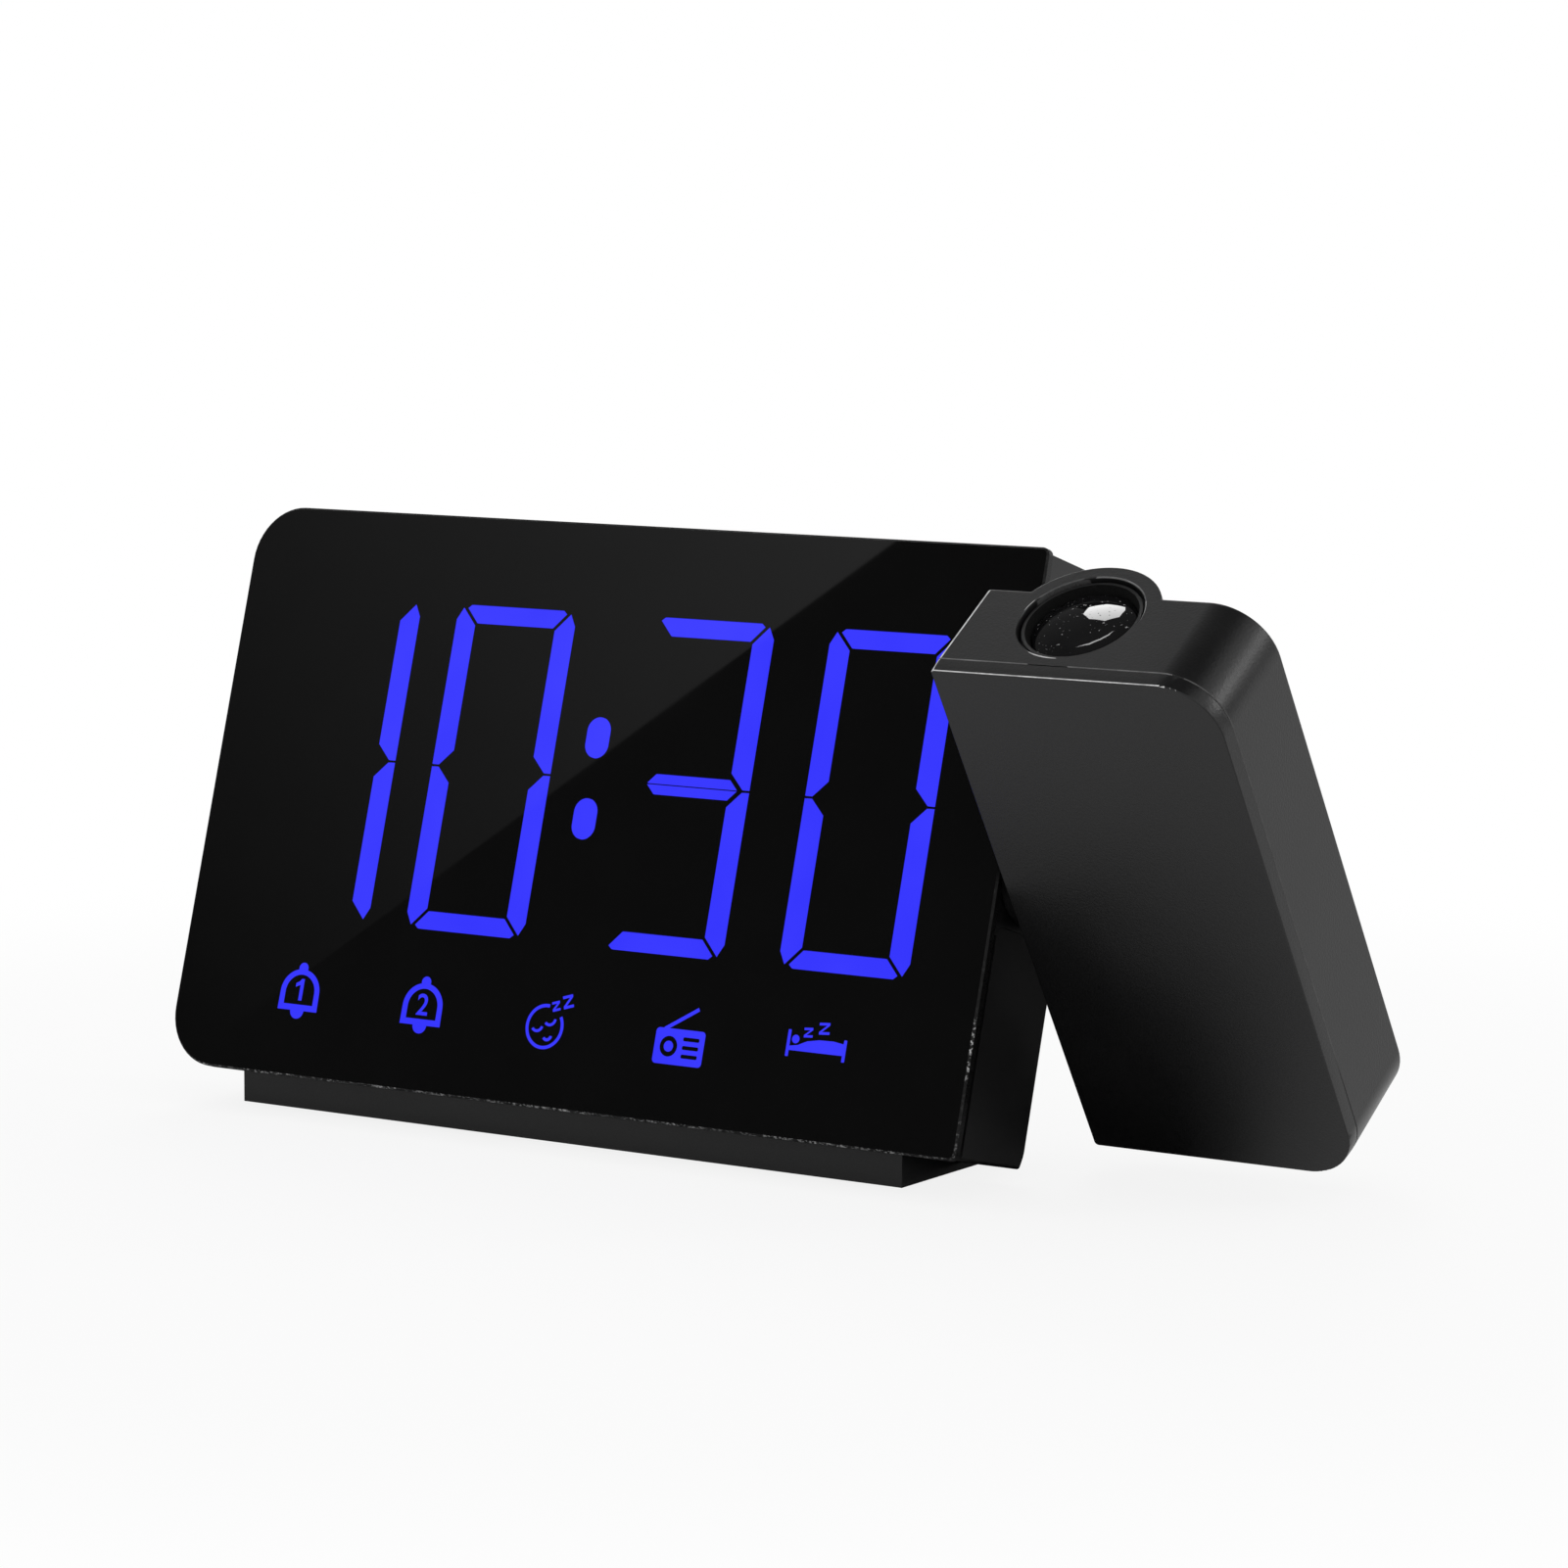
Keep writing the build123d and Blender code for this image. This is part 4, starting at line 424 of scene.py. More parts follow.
# finishes of the CAD nodes that keep their own mesh
nodeFinish = {
    "display_segments": finishes["lit"], "front_frame": barrelPlastic,
    "light_box": diffuserPlastic, "led_chips": diffuserPlastic, "main_board": finishes["board"],
    "clock_chip": innerPlastic, "tact_switches": innerPlastic, "shell_screws": finishes["zinc"],
    "speaker": innerPlastic, "door_screw": finishes["zinc"], "coin_cell": finishes["nickel"],
    "cell_contact": finishes["nickel"], "usb_port": finishes["nickel"], "dc_jack": innerPlastic,
    "antenna_gland": finishes["rubber"], "hinge_bush": finishes["brass"],
    "wave_washer": finishes["zinc"], "foot_screws": finishes["zinc"],
    "pivot_shaft": finishes["zinc"], "shaft_nut": finishes["zinc"],
    "arm_screws": finishes["zinc"], "light_tube": innerPlastic,
    "image_panel": finishes["gloss"], "condenser_lens": finishes["lens"],
    "lamp_board": finishes["board"], "projector_lamp": diffuserPlastic,
    "arm_board": finishes["board"], "rear_lens": finishes["lens"],
}
for name, finish in nodeFinish.items():
    dress(nodes[name], finish)


smoothing = {"merge": 0.000002, "flat": 0.2, "angle": 28.0, "weight": 100}     # metres, degrees


def smoothCopy(node, material):
    # the node's own shape with its doubles merged and its shading smoothed, in its place
    source = nodes[node]
    piece = source.copy()
    piece.data = source.data.copy()
    piece.parent = None
    piece.name = node + "Skin"
    for key in list(piece.keys()):
        if key.startswith("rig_"):
            del piece[key]
    bpy.context.scene.collection.objects.link(piece)
    activate(piece)
    bpy.ops.object.mode_set(mode="EDIT")
    bpy.ops.mesh.select_all(action="SELECT")
    bpy.ops.mesh.remove_doubles(threshold=smoothing["merge"])
    bpy.ops.mesh.dissolve_limited(angle_limit=math.radians(smoothing["flat"]))
    finishEdit()
    bpy.ops.object.shade_smooth_by_angle(angle=math.radians(smoothing["angle"]))
    weights = piece.modifiers.new("Weighted", "WEIGHTED_NORMAL")
    weights.keep_sharp = True
    weights.weight = smoothing["weight"]
    bpy.ops.object.modifier_apply(modifier=weights.name)
    dress(piece, material)
    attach(piece, source["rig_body"])
    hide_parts(node)
    return piece


skins = {
    "rear_shell": casePlastic, "hinge_cover": casePlastic, "snooze_bar": keyPlastic,
    "battery_door": casePlastic, "stand_foot": footPlastic, "rubber_feet": finishes["rubber"],
    "pivot_washer": casePlastic, "arm_front_cover": armPlastic, "arm_rear_shell": armPlastic,
    "lens_bezel": barrelPlastic, "lens_barrel": barrelPlastic, "focus_wheel": keyPlastic,
}
skins.update({name: keyPlastic for name in nodes if name.startswith("rear_key")})
skinPieces = {node: smoothCopy(node, material) for node, material in skins.items()}
print("smoothed copies:", len(skinPieces))


def within(value, span):
    return span[0] < value < span[1]


def blackenWalls(node):
    # the walls that look in on the lens axis are dull black, so that nothing shines in the well
    steepest = 0.55                          # a wall's normal against the axis, as a cosine
    piece = skinPieces[node]
    piece.data.materials.append(finishes["dull"])
    for face in piece.data.polygons:
        outward = face.center - lensFoot
        outward -= armUp * outward.dot(armUp)
        inner = face.normal.dot(outward) < 0 and abs(face.normal.dot(armUp)) < steepest
        face.material_index = 1 if inner else 0


blackenWalls("lens_bezel")
blackenWalls("lens_barrel")

# where the arm's painted edge highlights go
highlightSpans = {        # spans of the cosines between a face's normal and the arm's directions
    "frontRound": (0.35, 0.93), "frontLeft": -0.12, "leftRound": (0.15, 0.98), "leftFlat": 0.5,
    "sideRound": 0.3, "wellRound": (0.3, 0.95),
    "wellRadius": (8.8 * mm, 9.4 * mm), "wellTurn": (-116, -84),       # its near edge, in degrees
}


def rubEdges(node, frontFinish):
    # painted highlights on the small rounds along the arm's top end and by the lens well, and
    # painted light with painted shade low down on the seam rounds down its right side
    piece = skinPieces[node]
    for finish in (frontFinish, finishes["paintedHighlight"], finishes["sideSeamSheenAndShade"]):
        piece.data.materials.append(finish)
    for face in piece.data.polygons:
        up, left = face.normal.dot(armUp), -face.normal.x
        front = -face.normal.dot(armBack)
        frontRound = within(up, highlightSpans["frontRound"]) and within(front, highlightSpans["frontRound"])
        leftRound = within(up, highlightSpans["leftRound"]) and within(left, highlightSpans["leftRound"])
        sideRound = min(-left, abs(front)) > highlightSpans["sideRound"]
        if frontRound and left > highlightSpans["frontLeft"]:
            face.material_index = 1
        elif leftRound and abs(front) < highlightSpans["leftFlat"]:
            face.material_index = 2
        elif sideRound and (front < 0) == (node == "arm_front_cover"):
            face.material_index = 3
        # a painted highlight on the near round of the lens well
        spot = face.center - lensFoot
        turn = math.degrees(math.atan2(spot.dot(armBack), spot.x))
        wide = (spot - armUp * spot.dot(armUp)).length
        if (within(up, highlightSpans["wellRound"]) and within(wide, highlightSpans["wellRadius"])
                and within(turn, highlightSpans["wellTurn"])):
            face.material_index = 2
    print(node, "rubbed faces:", sum(face.material_index > 0 for face in piece.data.polygons))


rubEdges("arm_front_cover", finishes["paintedHighlight"])
rubEdges("arm_rear_shell", finishes["seam"])


def makePanelSkin():
    # polish on the face, a milled finish round the side, chips along both broken edges
    piece = smoothCopy("front_panel", finishes["gloss"])
    piece.data.materials.append(finishes["side"])
    piece.data.materials.append(finishes["edge"])
    activate(piece)
    bpy.ops.mesh.customdata_custom_splitnormals_clear()
    top = clock["panelHeight"] * mm
    for face in piece.data.polygons:
        slant = abs(face.normal.dot(faceOut))
        up = (face.center - faceCorner).dot(faceUp)
        reach = min(face.center.x - faceLeft, faceRight - face.center.x, up, top - up)
        if reach > clock["panelCorner"] * mm or slant > clock["faceSlant"]:
            face.material_index = 0
            face.use_smooth = False          # the polish mirrors truly
        else:
            face.material_index = 1 if slant < clock["sideSlant"] else 2


makePanelSkin()

marks = {"low": 0.004, "thick": 0.028}       # millimetres: their underside above the panel


def arcPoints(centre, radii, start, end, steps):
    turns = [math.radians(start + (end - start) * i / steps) for i in range(steps + 1)]
    return [(centre[0] + radii[0] * math.cos(turn), centre[1] + radii[1] * math.sin(turn))
            for turn in turns]


def arcBand(centre, radius, line, start, end, steps=24):
    # a stroke along an arc
    outer = arcPoints(centre, (radius + line / 2,) * 2, start, end, steps)
    inner = arcPoints(centre, (radius - line / 2,) * 2, end, start, steps)
    return outer + inner


def barOutline(start, end, line):
    along = (Vector(end) - Vector(start)).normalized()
    side = Vector((-along.y, along.x)) * line / 2
    corners = (Vector(start) + side, Vector(end) + side, Vector(end) - side, Vector(start) - side)
    return [tuple(corner) for corner in corners]


def roundedBox(low, high, radius, steps=6):
    (x0, y0), (x1, y1) = low, high
    centres = ((x1 - radius, y1 - radius, 0), (x0 + radius, y1 - radius, 90),
               (x0 + radius, y0 + radius, 180), (x1 - radius, y0 + radius, 270))
    return [point for x, y, turn in centres
            for point in arcPoints((x, y), (radius, radius), turn, turn + 90, steps)]


def zigzag(centre, size, line, tilt):
    # the snooze mark: two level strokes joined by a slanted one
    w, h = size[0] / 2, size[1] / 2
    foot = line * 1.25
    shape = ((-w, h), (w, h), (w, h - line), (foot - w, line - h), (w, line - h), (w, -h),
             (-w, -h), (-w, line - h), (w - foot, h - line), (-w, h - line))
    turn = math.radians(tilt)
    return [(centre[0] + x * math.cos(turn) - y * math.sin(turn),
             centre[1] + x * math.sin(turn) + y * math.cos(turn)) for x, y in shape]


def flatShape(name, outlines):
    # a filled curve, holes and all, made a thin mesh
    data = bpy.data.curves.new(name, "CURVE")
    data.dimensions = "2D"
    data.fill_mode = "BOTH"
    data.extrude = marks["thick"] / 2
    for outline in outlines:
        spline = data.splines.new("POLY")
        spline.points.add(len(outline) - 1)
        for point, (x, y) in zip(spline.points, outline):
            point.co = (x, y, 0, 1)
        spline.use_cyclic_u = True
    piece = bpy.data.objects.new(name, data)
    bpy.context.scene.collection.objects.link(piece)
    activate(piece)
    bpy.ops.object.convert(target="MESH")
    return bpy.context.object


def arcShape(name, centre, radius, start, end, steps):
    return flatShape(name, [arcPoints(centre, (radius, radius), start, end, steps)])


def seatMark(piece):
    placed(piece, faceFrame(0, 0, marks["low"] + marks["thick"] / 2))
    dress(piece, finishes["lit"])
    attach(piece, "clock")


bell = {        # millimetres on the panel
    "centres": (23.4, 46.5), "low": 9.95, "width": 7.3, "flare": 0.05, "spring": 12.7,
    "rise": 3.55, "line": 0.92, "crownShare": 0.9, "knob": 0.85, "knobShare": 0.2, "clapper": 1.25,
    "numeralLow": 11.5, "numeralHeight": 3.3, "capShare": 0.73, "weight": 0.055,
    "stem": 0.62, "stemShare": 0.85, "flag": 0.85,
}


def numeralOne(centre):
    # a plain stem with a slanted flag
    low, high = bell["numeralLow"], bell["numeralLow"] + bell["numeralHeight"]
    right = centre + bell["stem"] * bell["stemShare"]
    left, tip = right - bell["stem"], right - bell["stem"] - bell["flag"]
    return flatShape("numeralOne", [[
        (left, low), (right, low), (right, high), (left + 0.12, high), (left - 0.25, high - 0.42),
        (tip, high - 0.72), (tip, high - 1.28), (left, high - 0.95)]])


def numeral(text, centre):
    if text == "1":
        return numeralOne(centre)
    bpy.ops.object.text_add()
    piece = bpy.context.object
    piece.data.body = text
    piece.data.align_x = "CENTER"
    piece.data.size = bell["numeralHeight"] / bell["capShare"]
    piece.data.offset = bell["weight"]
    piece.data.extrude = marks["thick"] / 2
    bpy.ops.object.convert(target="MESH")
    piece = bpy.context.object
    piece.data.transform(Matrix.Translation((centre, bell["numeralLow"], 0)))
    return piece


def makeBell(index, centre):
    # bell outline with its knob and clapper, round a plain numeral
    low, spring, half = bell["low"], bell["spring"], bell["width"] / 2
    line, rise, flare = bell["line"], bell["rise"], bell["flare"]
    dome = arcPoints((centre, spring), (half, rise), 0, 180, 40)
    crown = rise - line * bell["crownShare"]
    hollow = arcPoints((centre, spring), (half - line, crown), 0, 180, 40)
    outer = [(centre + half + flare, low)] + dome + [(centre - half - flare, low)]
    inner = [(centre + half - line, low + line)] + hollow + [(centre - half + line, low + line)]
    shell = flatShape(f"bellMark{index}", [outer, inner])
    knobHeight = spring + rise + bell["knob"] * bell["knobShare"]
    knob = arcShape("knob", (centre, knobHeight), bell["knob"], -20, 200, 20)
    clapper = arcShape("clapper", (centre, low), bell["clapper"], 180, 360, 20)
    seatMark(joined([shell, knob, clapper, numeral(str(index), centre)], f"bellMark{index}"))


sleepingFace = {
    "centre": (68.95, 11.93), "line": 0.5,
    # strokes: centre, radius, share of the line's width, from, to, steps
    "arcs": ((0, 0, 3.1, 1, 83, 392, 60), (-1.35, 0.2, 0.95, 0.85, 219, 346, 24),
             (0.75, 1.3, 0.98, 0.85, 226, 356, 24), (0.69, -1.2, 0.7, 0.9, 217, 353, 24)),
    # snooze marks: centre, size, line, tilt
    "zigzags": ((1.5, 3.15, (1.35, 1.45), 0.36, 17), (3.5, 4.0, (1.75, 1.95), 0.42, 17)),
}


def makeSleepingFace():
    x, y = sleepingFace["centre"]
    shapes = [arcBand((x + right, y + up), radius, sleepingFace["line"] * share, *turns)
              for right, up, radius, share, *turns in sleepingFace["arcs"]]
    shapes += [zigzag((x + right, y + up), *rest) for right, up, *rest in sleepingFace["zigzags"]]
    pieces = [flatShape(f"faceStroke{i}", [shape]) for i, shape in enumerate(shapes)]
    seatMark(joined(pieces, "sleepingFaceMark"))


radio = {
    "low": (88.55, 8.6), "high": (97.05, 13.82), "corner": 0.6,
    "speaker": 2.45, "speakerRadius": 1.5, "coneRadius": 0.8,
    "dialReach": (3.7, 0.9), "dialLine": 0.28, "dialPitch": 1.25, "dialCorner": 0.2,
    "aerialFoot": (1.4, 0.15), "aerialTip": (1.75, 16.95), "aerialLine": 0.55,
}


def makeRadio():
    # a small set with a round speaker, three dial lines and its aerial up
    low, high = radio["low"], radio["high"]
    middle = (low[1] + high[1]) / 2
    speaker = (low[0] + radio["speaker"], middle)
    holes = [roundedBox(low, high, radio["corner"]),
             arcPoints(speaker, (radio["speakerRadius"],) * 2, 0, 351, 39)]
    (far, near), half = radio["dialReach"], radio["dialLine"]
    for step in (-1, 0, 1):
        rise = middle + radio["dialPitch"] * step
        holes.append(roundedBox((high[0] - far, rise - half), (high[0] - near, rise + half),
                                radio["dialCorner"]))
    case = flatShape("radioMark", holes)
    cone = arcShape("cone", speaker, radio["coneRadius"], 0, 345, 23)
    foot, tip = radio["aerialFoot"], radio["aerialTip"]
    aerial = flatShape("aerial", [barOutline(
        (low[0] + foot[0], high[1] - foot[1]), (high[0] - tip[0], tip[1]), radio["aerialLine"])])
    seatMark(joined([case, cone, aerial], "radioMark"))


bed = {
    "left": 110.85, "right": 120.8, "low": 11.8, "post": 0.5, "postCorner": 0.12,
    "headHeight": 3.85, "footHeight": 3.15,
    # outline of the mattress and its cover: from the left (0) or right (1) end, and from the low
    "mattress": ((0, 0.4, 0.9), (1, -0.4, 0.9), (1, -0.4, 2.55), (1, -2.2, 2.8), (1, -4.6, 2.75),
                 (1, -6.6, 2.4), (0, 1.9, 1.75), (0, 0.4, 1.5)),
    "pillow": (1.4, 2.55), "pillowRadius": 0.62,
    "zigzags": ((3.35, 3.65, (1.45, 1.4), 0.34, 4), (5.9, 4.45, (1.75, 1.7), 0.38, 4)),
}


def makeBed():
    left, right, low, post = (bed[key] for key in ("left", "right", "low", "post"))
    mattress = [((left, right)[end] + along, low + up) for end, along, up in bed["mattress"]]
    pillow = (left + bed["pillow"][0], low + bed["pillow"][1])
    shapes = [
        roundedBox((left, low), (left + post, low + bed["headHeight"]), bed["postCorner"]),
        roundedBox((right - post, low), (right, low + bed["footHeight"]), bed["postCorner"]),
        mattress,
        arcPoints(pillow, (bed["pillowRadius"],) * 2, 0, 345, 23),
    ]
    shapes += [zigzag((left + along, low + up), *rest) for along, up, *rest in bed["zigzags"]]
    pieces = [flatShape(f"bedPart{i}", [shape]) for i, shape in enumerate(shapes)]
    seatMark(joined(pieces, "bedMark"))


for bellIndex, bellCentre in enumerate(bell["centres"]):
    makeBell(bellIndex + 1, bellCentre)
makeSleepingFace()
makeRadio()
makeBed()
print("lit marks made")

# front lens: millimetres, its seat measured from the arm's pivot
lensShape = {"radius": 7.35, "seat": 39.2, "rim": 2.4, "rise": 1.4, "steps": 96, "rings": 48,
             "sharp": 40}
lensShape["curve"] = (lensShape["radius"] ** 2 + lensShape["rise"] ** 2) / (2 * lensShape["rise"])


def makeFrontLens():
    shape = lensShape
    bpy.ops.mesh.primitive_uv_sphere_add(segments=shape["steps"], ring_count=shape["rings"],
                                         radius=1.0)
    piece = bpy.context.object
    piece.name = "frontLensGlass"
    editOnly(piece, "FACE", lambda face: face.center.z < -0.001)
    bpy.ops.mesh.delete(type="FACE")
    finishEdit()
    points = piece.data.vertices
    editOnly(piece, "EDGE", lambda edge: all(abs(points[i].co.z) < 0.0001 for i in edge.vertices))
    bpy.ops.mesh.extrude_region_move(TRANSFORM_OT_translate={"value": (0, 0, -1)})
    bpy.ops.mesh.edge_face_add()
    finishEdit()
    radius, curve = shape["radius"], shape["curve"]
    widest = math.asin(radius / curve)
    for vertex in piece.data.vertices:
        x, y, z = vertex.co
        if z < -0.5:
            vertex.co = Vector((x * radius, y * radius, 0.0))
            continue
        turn = math.acos(min(max(z, 0.0), 1.0)) / (math.pi / 2) * widest
        along = Vector((x, y)).normalized() * curve * math.sin(turn)
        high = curve * (math.cos(turn) - math.cos(widest))
        vertex.co = Vector((along.x, along.y, shape["rim"] + high))
    placed(piece, lensFrame(shape["seat"]))
    activate(piece)
    bpy.ops.object.shade_smooth_by_angle(angle=math.radians(shape["sharp"]))
    dress(piece, finishes["lens"])
    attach(piece, "lens_carriage")
    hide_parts("front_lens")


makeFrontLens()
print("front lens made")

# the lens well's rim, in millimetres from the lens axis and the pivot, and where a painted
# highlight
# lies on it: from and to in degrees from the right, and the line's half width
highlightRims = {"wornRimNear": (-118, -85, 0.13), "wornRimLeft": (157, 179, 0.07)}
wellRim = {"radius": 9.18, "height": 43.36, "steps": 288, "sides": 8, "merge": 0.002}


def makeWornRim(name, start, end, line):
    # a painted highlight: the bright stretch of a thin ring, which swells from nothing at both of
    # its ends
    bpy.ops.mesh.primitive_torus_add(major_radius=wellRim["radius"], minor_radius=line,
                                     major_segments=wellRim["steps"],
                                     minor_segments=wellRim["sides"])
    piece = bpy.context.object
    piece.name = name
    editOnly(piece, "FACE", lambda face: not start < math.degrees(
        math.atan2(face.center.y, face.center.x)) < end)
    bpy.ops.mesh.delete(type="FACE")
    finishEdit()
    turns = [math.degrees(math.atan2(vertex.co.y, vertex.co.x)) for vertex in piece.data.vertices]
    low, high = min(turns), max(turns)
    for vertex, turn in zip(piece.data.vertices, turns):
        ring = Vector((vertex.co.x, vertex.co.y, 0)).normalized() * wellRim["radius"]
        swell = max(math.sin(math.pi * (turn - low) / (high - low)), 0.0) ** 0.5
        vertex.co = ring + (vertex.co - ring) * swell
    activate(piece)
    bpy.ops.object.mode_set(mode="EDIT")
    bpy.ops.mesh.select_all(action="SELECT")
    bpy.ops.mesh.remove_doubles(threshold=wellRim["merge"])
    finishEdit()
    placed(piece, lensFrame(wellRim["height"]))
    activate(piece)
    bpy.ops.object.shade_smooth()
    dress(piece, finishes["paintedHighlight"])
    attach(piece, "projector_arm")


for name, rim in highlightRims.items():
    makeWornRim(name, *rim)

camera = {
    "yaw": 33.1041, "pitch": 6.9754, "roll": 0.2921, "distance": 0.73444,
    "target": (0.01862, -0.021222, 0.0576),
    "focalPixels": 5343.71, "centre": (792.48, 797.83), "framePixels": 1601, "sensor": 36.0,
    "clipStart": 0.01,
}


def makeCamera():
    yaw, pitch, roll = (math.radians(camera[key]) for key in ("yaw", "pitch", "roll"))
    ahead = Vector((-math.sin(yaw) * math.cos(pitch), math.cos(yaw) * math.cos(pitch),
                    -math.sin(pitch)))
    right = ahead.cross(Vector((0, 0, 1))).normalized()
    up = right.cross(ahead)
    turnedRight = right * math.cos(roll) + up * math.sin(roll)
    turnedUp = up * math.cos(roll) - right * math.sin(roll)
    turn = Matrix((turnedRight, turnedUp, -ahead)).transposed().to_4x4()
    data = bpy.data.cameras.new("studioCamera")
    data.sensor_fit = "HORIZONTAL"
    data.sensor_width = camera["sensor"]
    size = camera["framePixels"]
    data.lens = camera["focalPixels"] / size * camera["sensor"]
    data.shift_x = (size / 2 - camera["centre"][0]) / size
    data.shift_y = (camera["centre"][1] - size / 2) / size
    data.clip_start = camera["clipStart"]
    piece = bpy.data.objects.new("studioCamera", data)
    bpy.context.scene.collection.objects.link(piece)
    place = Vector(camera["target"]) - ahead * camera["distance"]
    piece.matrix_world = Matrix.Translation(place) @ turn
    bpy.context.scene.camera = piece
    return piece


studioCamera = makeCamera()

studio = {
    "target": (0.07, -0.01, 0.08),           # what the softboxes face
    "worldFill": 0.8,                        # the surroundings' light; seen or mirrored they are 1
    "floorSize": 6.0, "floorTone": 0.8,
    "floorWhite": 0.86,                      # share of plain white in the floor as it is seen
    "whiteReach": (0.16, 0.3),               # metres from the clock where that share becomes 1
    "shadeLine": (-0.09, 0.038, 0.015),      # the line under the clock: x from, x to, y
    "shade": ((0.24, 0.0), (0.31, 0.1), (0.4, 0.43), (0.52, 0.68), (0.72, 0.88), (1.0, 0.72)),
}


def makeWorld():
    world = bpy.data.worlds.new("studioWorld")
    bpy.context.scene.world = world
    world.use_nodes = True
    tree = world.node_tree
    path = addNode(tree, "LightPath").outputs
    seen = maths(tree, "MAXIMUM", path["Is Camera Ray"], path["Is Transmission Ray"])
    mirrored = maths(tree, "MAXIMUM", seen, path["Is Glossy Ray"])
    setInputs(tree, tree.nodes["Background"], {
        "Color": (1, 1, 1, 1),
        "Strength": mapRange(tree, mirrored, result=(studio["worldFill"], 1.0))})


def underShade(tree):
    # the dark under and round the clock that gloss picks up, by distance from a line beneath it
    start, end, back = studio["shadeLine"]
    offset = maths(tree, "ADD", coordinate(tree, axis="X"), -(start + end) / 2)
    past = maths(tree, "SUBTRACT", maths(tree, "ABSOLUTE", offset), (end - start) / 2)
    across = maths(tree, "MAXIMUM", past, 0.0)
    ahead = maths(tree, "SUBTRACT", coordinate(tree, axis="Y"), back)
    flat = addNode(tree, "CombineXYZ", X=across, Y=ahead).outputs[0]
    reach = maths(tree, "MULTIPLY", vectorLength(tree, flat), rampScale)
    return colourRamp(tree, reach, *studio["shade"])


def makeFloor():
    # plain to the camera and whiter further out; gloss sees the shade under the clock on it
    bpy.ops.mesh.primitive_plane_add(size=studio["floorSize"])
    floor = bpy.context.object
    floor.name = "studioFloor"
    material, tree, shader = newMaterial("paleFloor")
    setInputs(tree, shader, {
        "Base Color": (*(studio["floorTone"],) * 3, 1), "Roughness": 0.9,
        "Specular IOR Level": 0.0})
    far = smoothRange(tree, vectorLength(tree, coordinate(tree)), studio["whiteReach"],
                      (studio["floorWhite"], 1.0))
    path = addNode(tree, "LightPath").outputs
    seen = maths(tree, "MULTIPLY", path["Is Camera Ray"], far)
    strength = mapRange(tree, path["Is Glossy Ray"], result=(1.0, underShade(tree)))
    glow = addNode(tree, "Emission", Color=(1, 1, 1, 1), Strength=strength)
    blend = addNode(tree, "MixShader", Fac=maths(tree, "MAXIMUM", seen, path["Is Glossy Ray"]))
    feed(tree, blend.inputs[1], shader.outputs["BSDF"])
    feed(tree, blend.inputs[2], glow.outputs["Emission"])
    feed(tree, tree.nodes["Material Output"].inputs["Surface"], blend.outputs["Shader"])
    dress(floor, material)


softboxes = {
    "windowSoftbox": {"place": (-0.27, 0.46, 0.63), "size": (0.26, 0.34), "power": 1.1},
    "stripSoftbox": {"place": (0.66, 0.39, 0.46), "size": (0.12, 0.12), "power": 0.55},
}
ceiling = {"place": (-0.78, 1.1, 0.72), "size": (2.44, 3.0), "tone": 0.02, "leftTone": 0.42,
           "fade": (-0.3, -0.12), "lensTone": 0.12}
backFlag = {"place": (0.635, 0.53, 0.21), "size": (0.26, 0.2), "glow": 0.05,
            "target": (0.067, -0.02, 0.085), "corners": 16}
lensCards = {        # outlines on the lens: millimetres to the right of its axis and back from it
    "windowCard": {"glow": 9.0, "distance": 0.6, "outline": (
        (-0.33, 1.17), (-0.34, 2.96), (1.71, 4.2), (4.37, 4.38), (4.73, 3.67), (4.79, 1.8),
        (3.37, 0.29), (1.07, 0.18))},
    "crescentCard": {"glow": 9.0, "distance": 0.45, "outline": (
        (1.4, -5.2), (3.0, -4.22), (4.15, -3.1), (4.85, -2.1), (5.3, -1.1), (5.06, -2.12),
        (4.34, -3.22), (3.14, -4.42))},
}


def makeGlossOnly(piece, name):
    # a plain glow that gloss alone sees
    material, tree, shader = newMaterial(name)
    tree.nodes.remove(shader)
    glow = addNode(tree, "Emission", Color=(1, 1, 1, 1))
    feed(tree, tree.nodes["Material Output"].inputs["Surface"], glow.outputs["Emission"])
    dress(piece, material)
    for kind in ("camera", "diffuse", "transmission", "shadow"):
        setattr(piece, "visible_" + kind, False)
    return tree, glow


def setGlow(tree, glow, inLens, elsewhere):
    # the lens alone mirrors sharply, and may see a glow of its own
    sharp = addNode(tree, "LightPath").outputs["Is Singular Ray"]
    feed(tree, glow.inputs["Strength"], mapRange(tree, sharp, result=(elsewhere, inLens)))


def stageCard(name, corners, inLens, elsewhere):
    setGlow(*makeGlossOnly(newCard(name, corners), name), inLens, elsewhere)


def newCard(name, corners):
    deselectAll()
    bpy.ops.mesh.primitive_circle_add(vertices=len(corners), radius=1.0, fill_type="NGON")
    piece = bpy.context.object
    piece.name = name
    for vertex, corner in zip(piece.data.vertices, corners):
        vertex.co = corner
    return piece


def mirrorRay(point, normal):
    # the way the camera looks on from a point that mirrors it
    ray = (point - studioCamera.matrix_world.translation).normalized()
    return ray - 2 * ray.dot(normal) * normal


def lensBounce(right, back):
    # a point of the lens, and where the camera looks when it bounces off it
    curve = lensShape["curve"] * mm
    crown = (lensShape["seat"] + lensShape["rim"] + lensShape["rise"]) * mm
    centre = lensFoot + armUp * (crown - curve)
    spot = Vector((right * mm, 0, 0)) + armBack * back * mm
    normal = (spot + armUp * math.sqrt(curve ** 2 - spot.length_squared)).normalized()
    point = centre + normal * curve
    return point, mirrorRay(point, normal)


def makeLensCard(name, card):
    bounces = [lensBounce(*spot) for spot in card["outline"]]
    aim = sum((ray for point, ray in bounces), Vector()).normalized()
    middle = bounces[0][0] + aim * card["distance"]
    corners = [point + ray * (middle - point).dot(aim) / ray.dot(aim) for point, ray in bounces]
    stageCard(name, corners, card["glow"], 0.0)


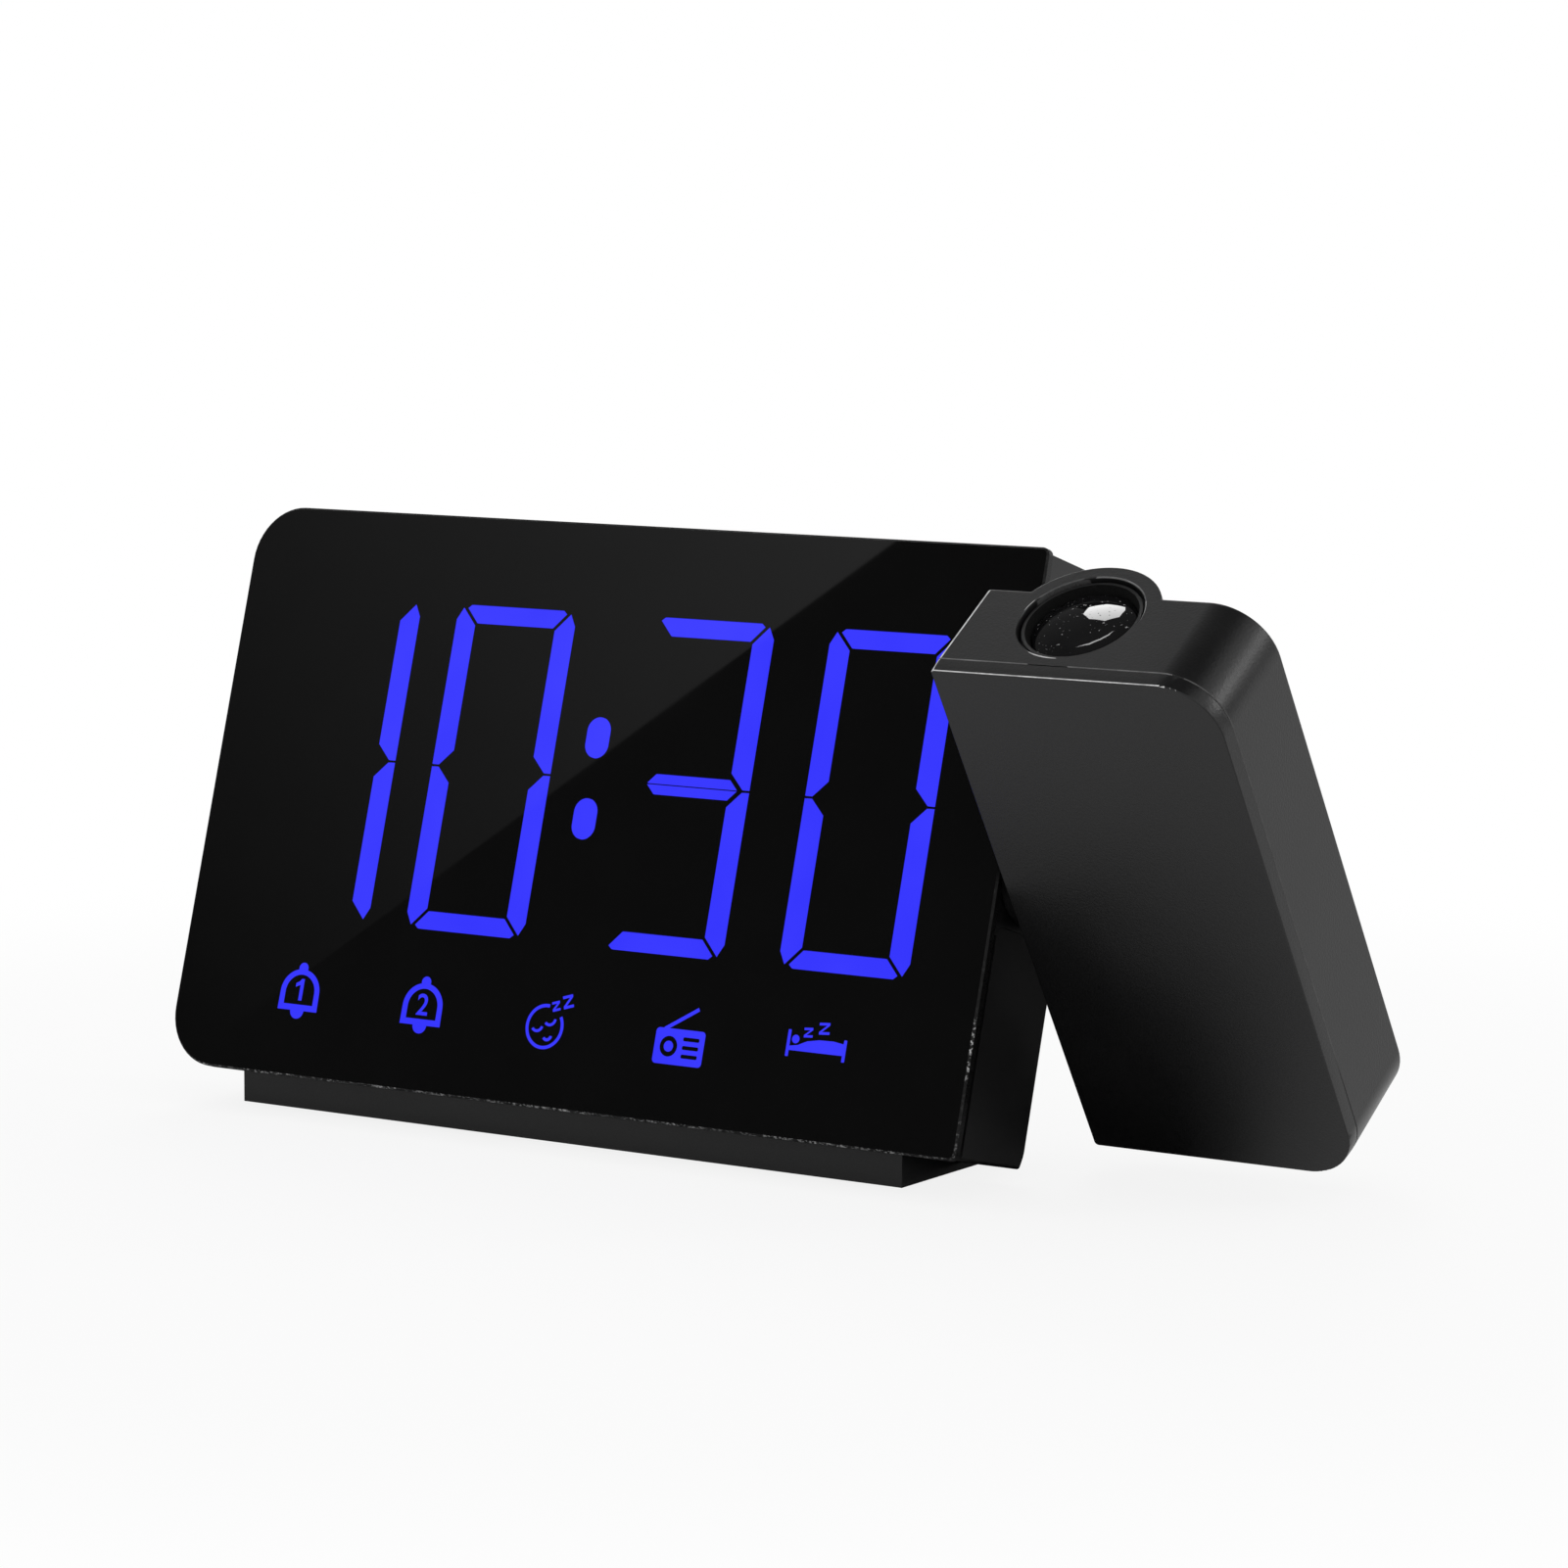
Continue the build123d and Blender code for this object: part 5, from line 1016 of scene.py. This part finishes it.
def flatCorners(card, target, shares):
    # corners of a flat card that faces the target, from their shares of its half sizes
    place = Vector(card["place"])
    turn = (Vector(target) - place).to_track_quat("-Z", "Y").to_matrix()
    across, high = (size / 2 for size in card["size"])
    return [place + turn @ Vector((x * across, y * high, 0)) for x, y in shares]


def makeBackFlag():
    turns = [math.tau * i / backFlag["corners"] for i in range(backFlag["corners"])]
    shares = [(math.cos(turn), math.sin(turn)) for turn in turns]
    corners = flatCorners(backFlag, backFlag["target"], shares)
    stageCard("backFlag", corners, 0.0, backFlag["glow"])


def makeSoftbox(name, box):
    data = bpy.data.lights.new(name, "AREA")
    data.shape = "RECTANGLE"
    data.size, data.size_y = box["size"]
    data.energy = box["power"]
    piece = bpy.data.objects.new(name, data)
    bpy.context.scene.collection.objects.link(piece)
    place, target = Vector(box["place"]), Vector(studio["target"])
    piece.location = place
    piece.rotation_euler = (target - place).to_track_quat("-Z", "Y").to_euler()
    return piece


def makeLights():
    # the window's sheen is a card of the same glow, so that the lens can be spared it
    boxes = {name: makeSoftbox(name, box) for name, box in softboxes.items()}
    window, box = boxes["windowSoftbox"], softboxes["windowSoftbox"]
    window.visible_glossy = False
    corners = flatCorners(box, studio["target"], ((-1, -1), (1, -1), (1, 1), (-1, 1)))
    glow = box["power"] / (math.pi * window.data.size * window.data.size_y)
    stageCard("windowSheen", corners, 0.0, glow)


def makeCeiling():
    # a black flag overhead, which only gloss sees, so that tops and rounds keep a dark side
    deselectAll()
    bpy.ops.mesh.primitive_plane_add(size=1.0)
    flag = bpy.context.object
    flag.name = "overheadFlag"
    width, depth = ceiling["size"]
    for vertex in flag.data.vertices:
        vertex.co = Vector((vertex.co.x * width, vertex.co.y * depth, 0)) + Vector(ceiling["place"])
    tree, glow = makeGlossOnly(flag, "flagCloth")
    tone = smoothRange(tree, coordinate(tree, axis="X"), ceiling["fade"],
                       (ceiling["leftTone"], ceiling["tone"]))
    setGlow(tree, glow, ceiling["lensTone"], tone)


reflectionCard = {
    "distance": 0.5,                       # metres from the panel, in its mirror direction
    "middle": (70.5, 43.6),                # of the panel's face, in millimetres
    "reach": ((-60, 200), (-50, 140)),     # of the panel's face that it fills
    "cells": (26, 19),
    "zoneEdge": ((26.7, 18.0), (115.7, 86.95)), "edgeBlur": 0.15,
    # tones of 255 in the panel: above the zone's edge paler to the right and up, dark below it
    "toneFloor": 10.8, "toneAcross": 0.13, "toneUp": 0.143, "toneTop": 40.0, "levels": 8,
    "darkTone": 12.6,
    "panelTone": 0.0018, "fresnel": 0.042,     # the panel's own light, and its share of the card's
}


def mirrorPoint(x, up):
    # where on the card the camera looks when it bounces off this point of the panel
    point, middle = onFace(x, up), onFace(*reflectionCard["middle"])
    ray, cardNormal = mirrorRay(point, faceOut), mirrorRay(middle, faceOut)
    cardCentre = middle + cardNormal * reflectionCard["distance"]
    reach = (cardCentre - point).dot(cardNormal) / ray.dot(cardNormal)
    return point + ray * reach


def glowFor(tone):
    # the card's glow that gives the panel this tone
    share = tone / 255
    linear = share / 12.92 if share <= 0.04045 else ((share + 0.055) / 1.055) ** 2.4
    return max(linear - reflectionCard["panelTone"], 0) / reflectionCard["fresnel"]


def makeReflectionCard():
    # a dim card with a paler corner that the polished panel mirrors; only gloss sees it
    look = reflectionCard
    (x0, x1), (y0, y1) = look["reach"]
    columns, rows = look["cells"]
    bpy.ops.mesh.primitive_grid_add(x_subdivisions=columns, y_subdivisions=rows, size=2)
    card = bpy.context.object
    card.name = "reflectionCard"
    for vertex in card.data.vertices:
        x = x0 + (vertex.co.x + 1) / 2 * (x1 - x0)
        up = y0 + (vertex.co.y + 1) / 2 * (y1 - y0)
        vertex.co = mirrorPoint(x, up)
    tree, glow = makeGlossOnly(card, "cardGlow")
    right = mapRange(tree, coordinate(tree, "UV", "X"), result=(x0, x1), clamp=False)
    up = mapRange(tree, coordinate(tree, "UV", "Y"), result=(y0, y1), clamp=False)
    (ax, ay), (bx, by) = look["zoneEdge"]
    slope = (by - ay) / (bx - ax)
    zoneEdge = maths(tree, "MULTIPLY_ADD", right, slope, ay - slope * ax)
    above = maths(tree, "SUBTRACT", up, zoneEdge)
    mask = smoothRange(tree, above, (-look["edgeBlur"], look["edgeBlur"]))
    across = maths(tree, "MULTIPLY_ADD", right, look["toneAcross"], look["toneFloor"])
    tone = maths(tree, "MULTIPLY_ADD", up, look["toneUp"], across)
    steps = [i / look["levels"] for i in range(look["levels"] + 1)]
    pale = colourRamp(tree, mapRange(tree, tone, (0.0, look["toneTop"])),
                      *((step, glowFor(look["toneTop"] * step)) for step in steps))
    dark = (*(glowFor(look["darkTone"]),) * 3, 1)
    feed(tree, glow.inputs["Color"], mixed(tree, mask, dark, pale))


makeWorld()
makeFloor()
makeLights()
makeCeiling()
makeBackFlag()
for name, card in lensCards.items():
    makeLensCard(name, card)
makeReflectionCard()
bpy.context.scene.view_settings.view_transform = "Standard"
print("studio ready")
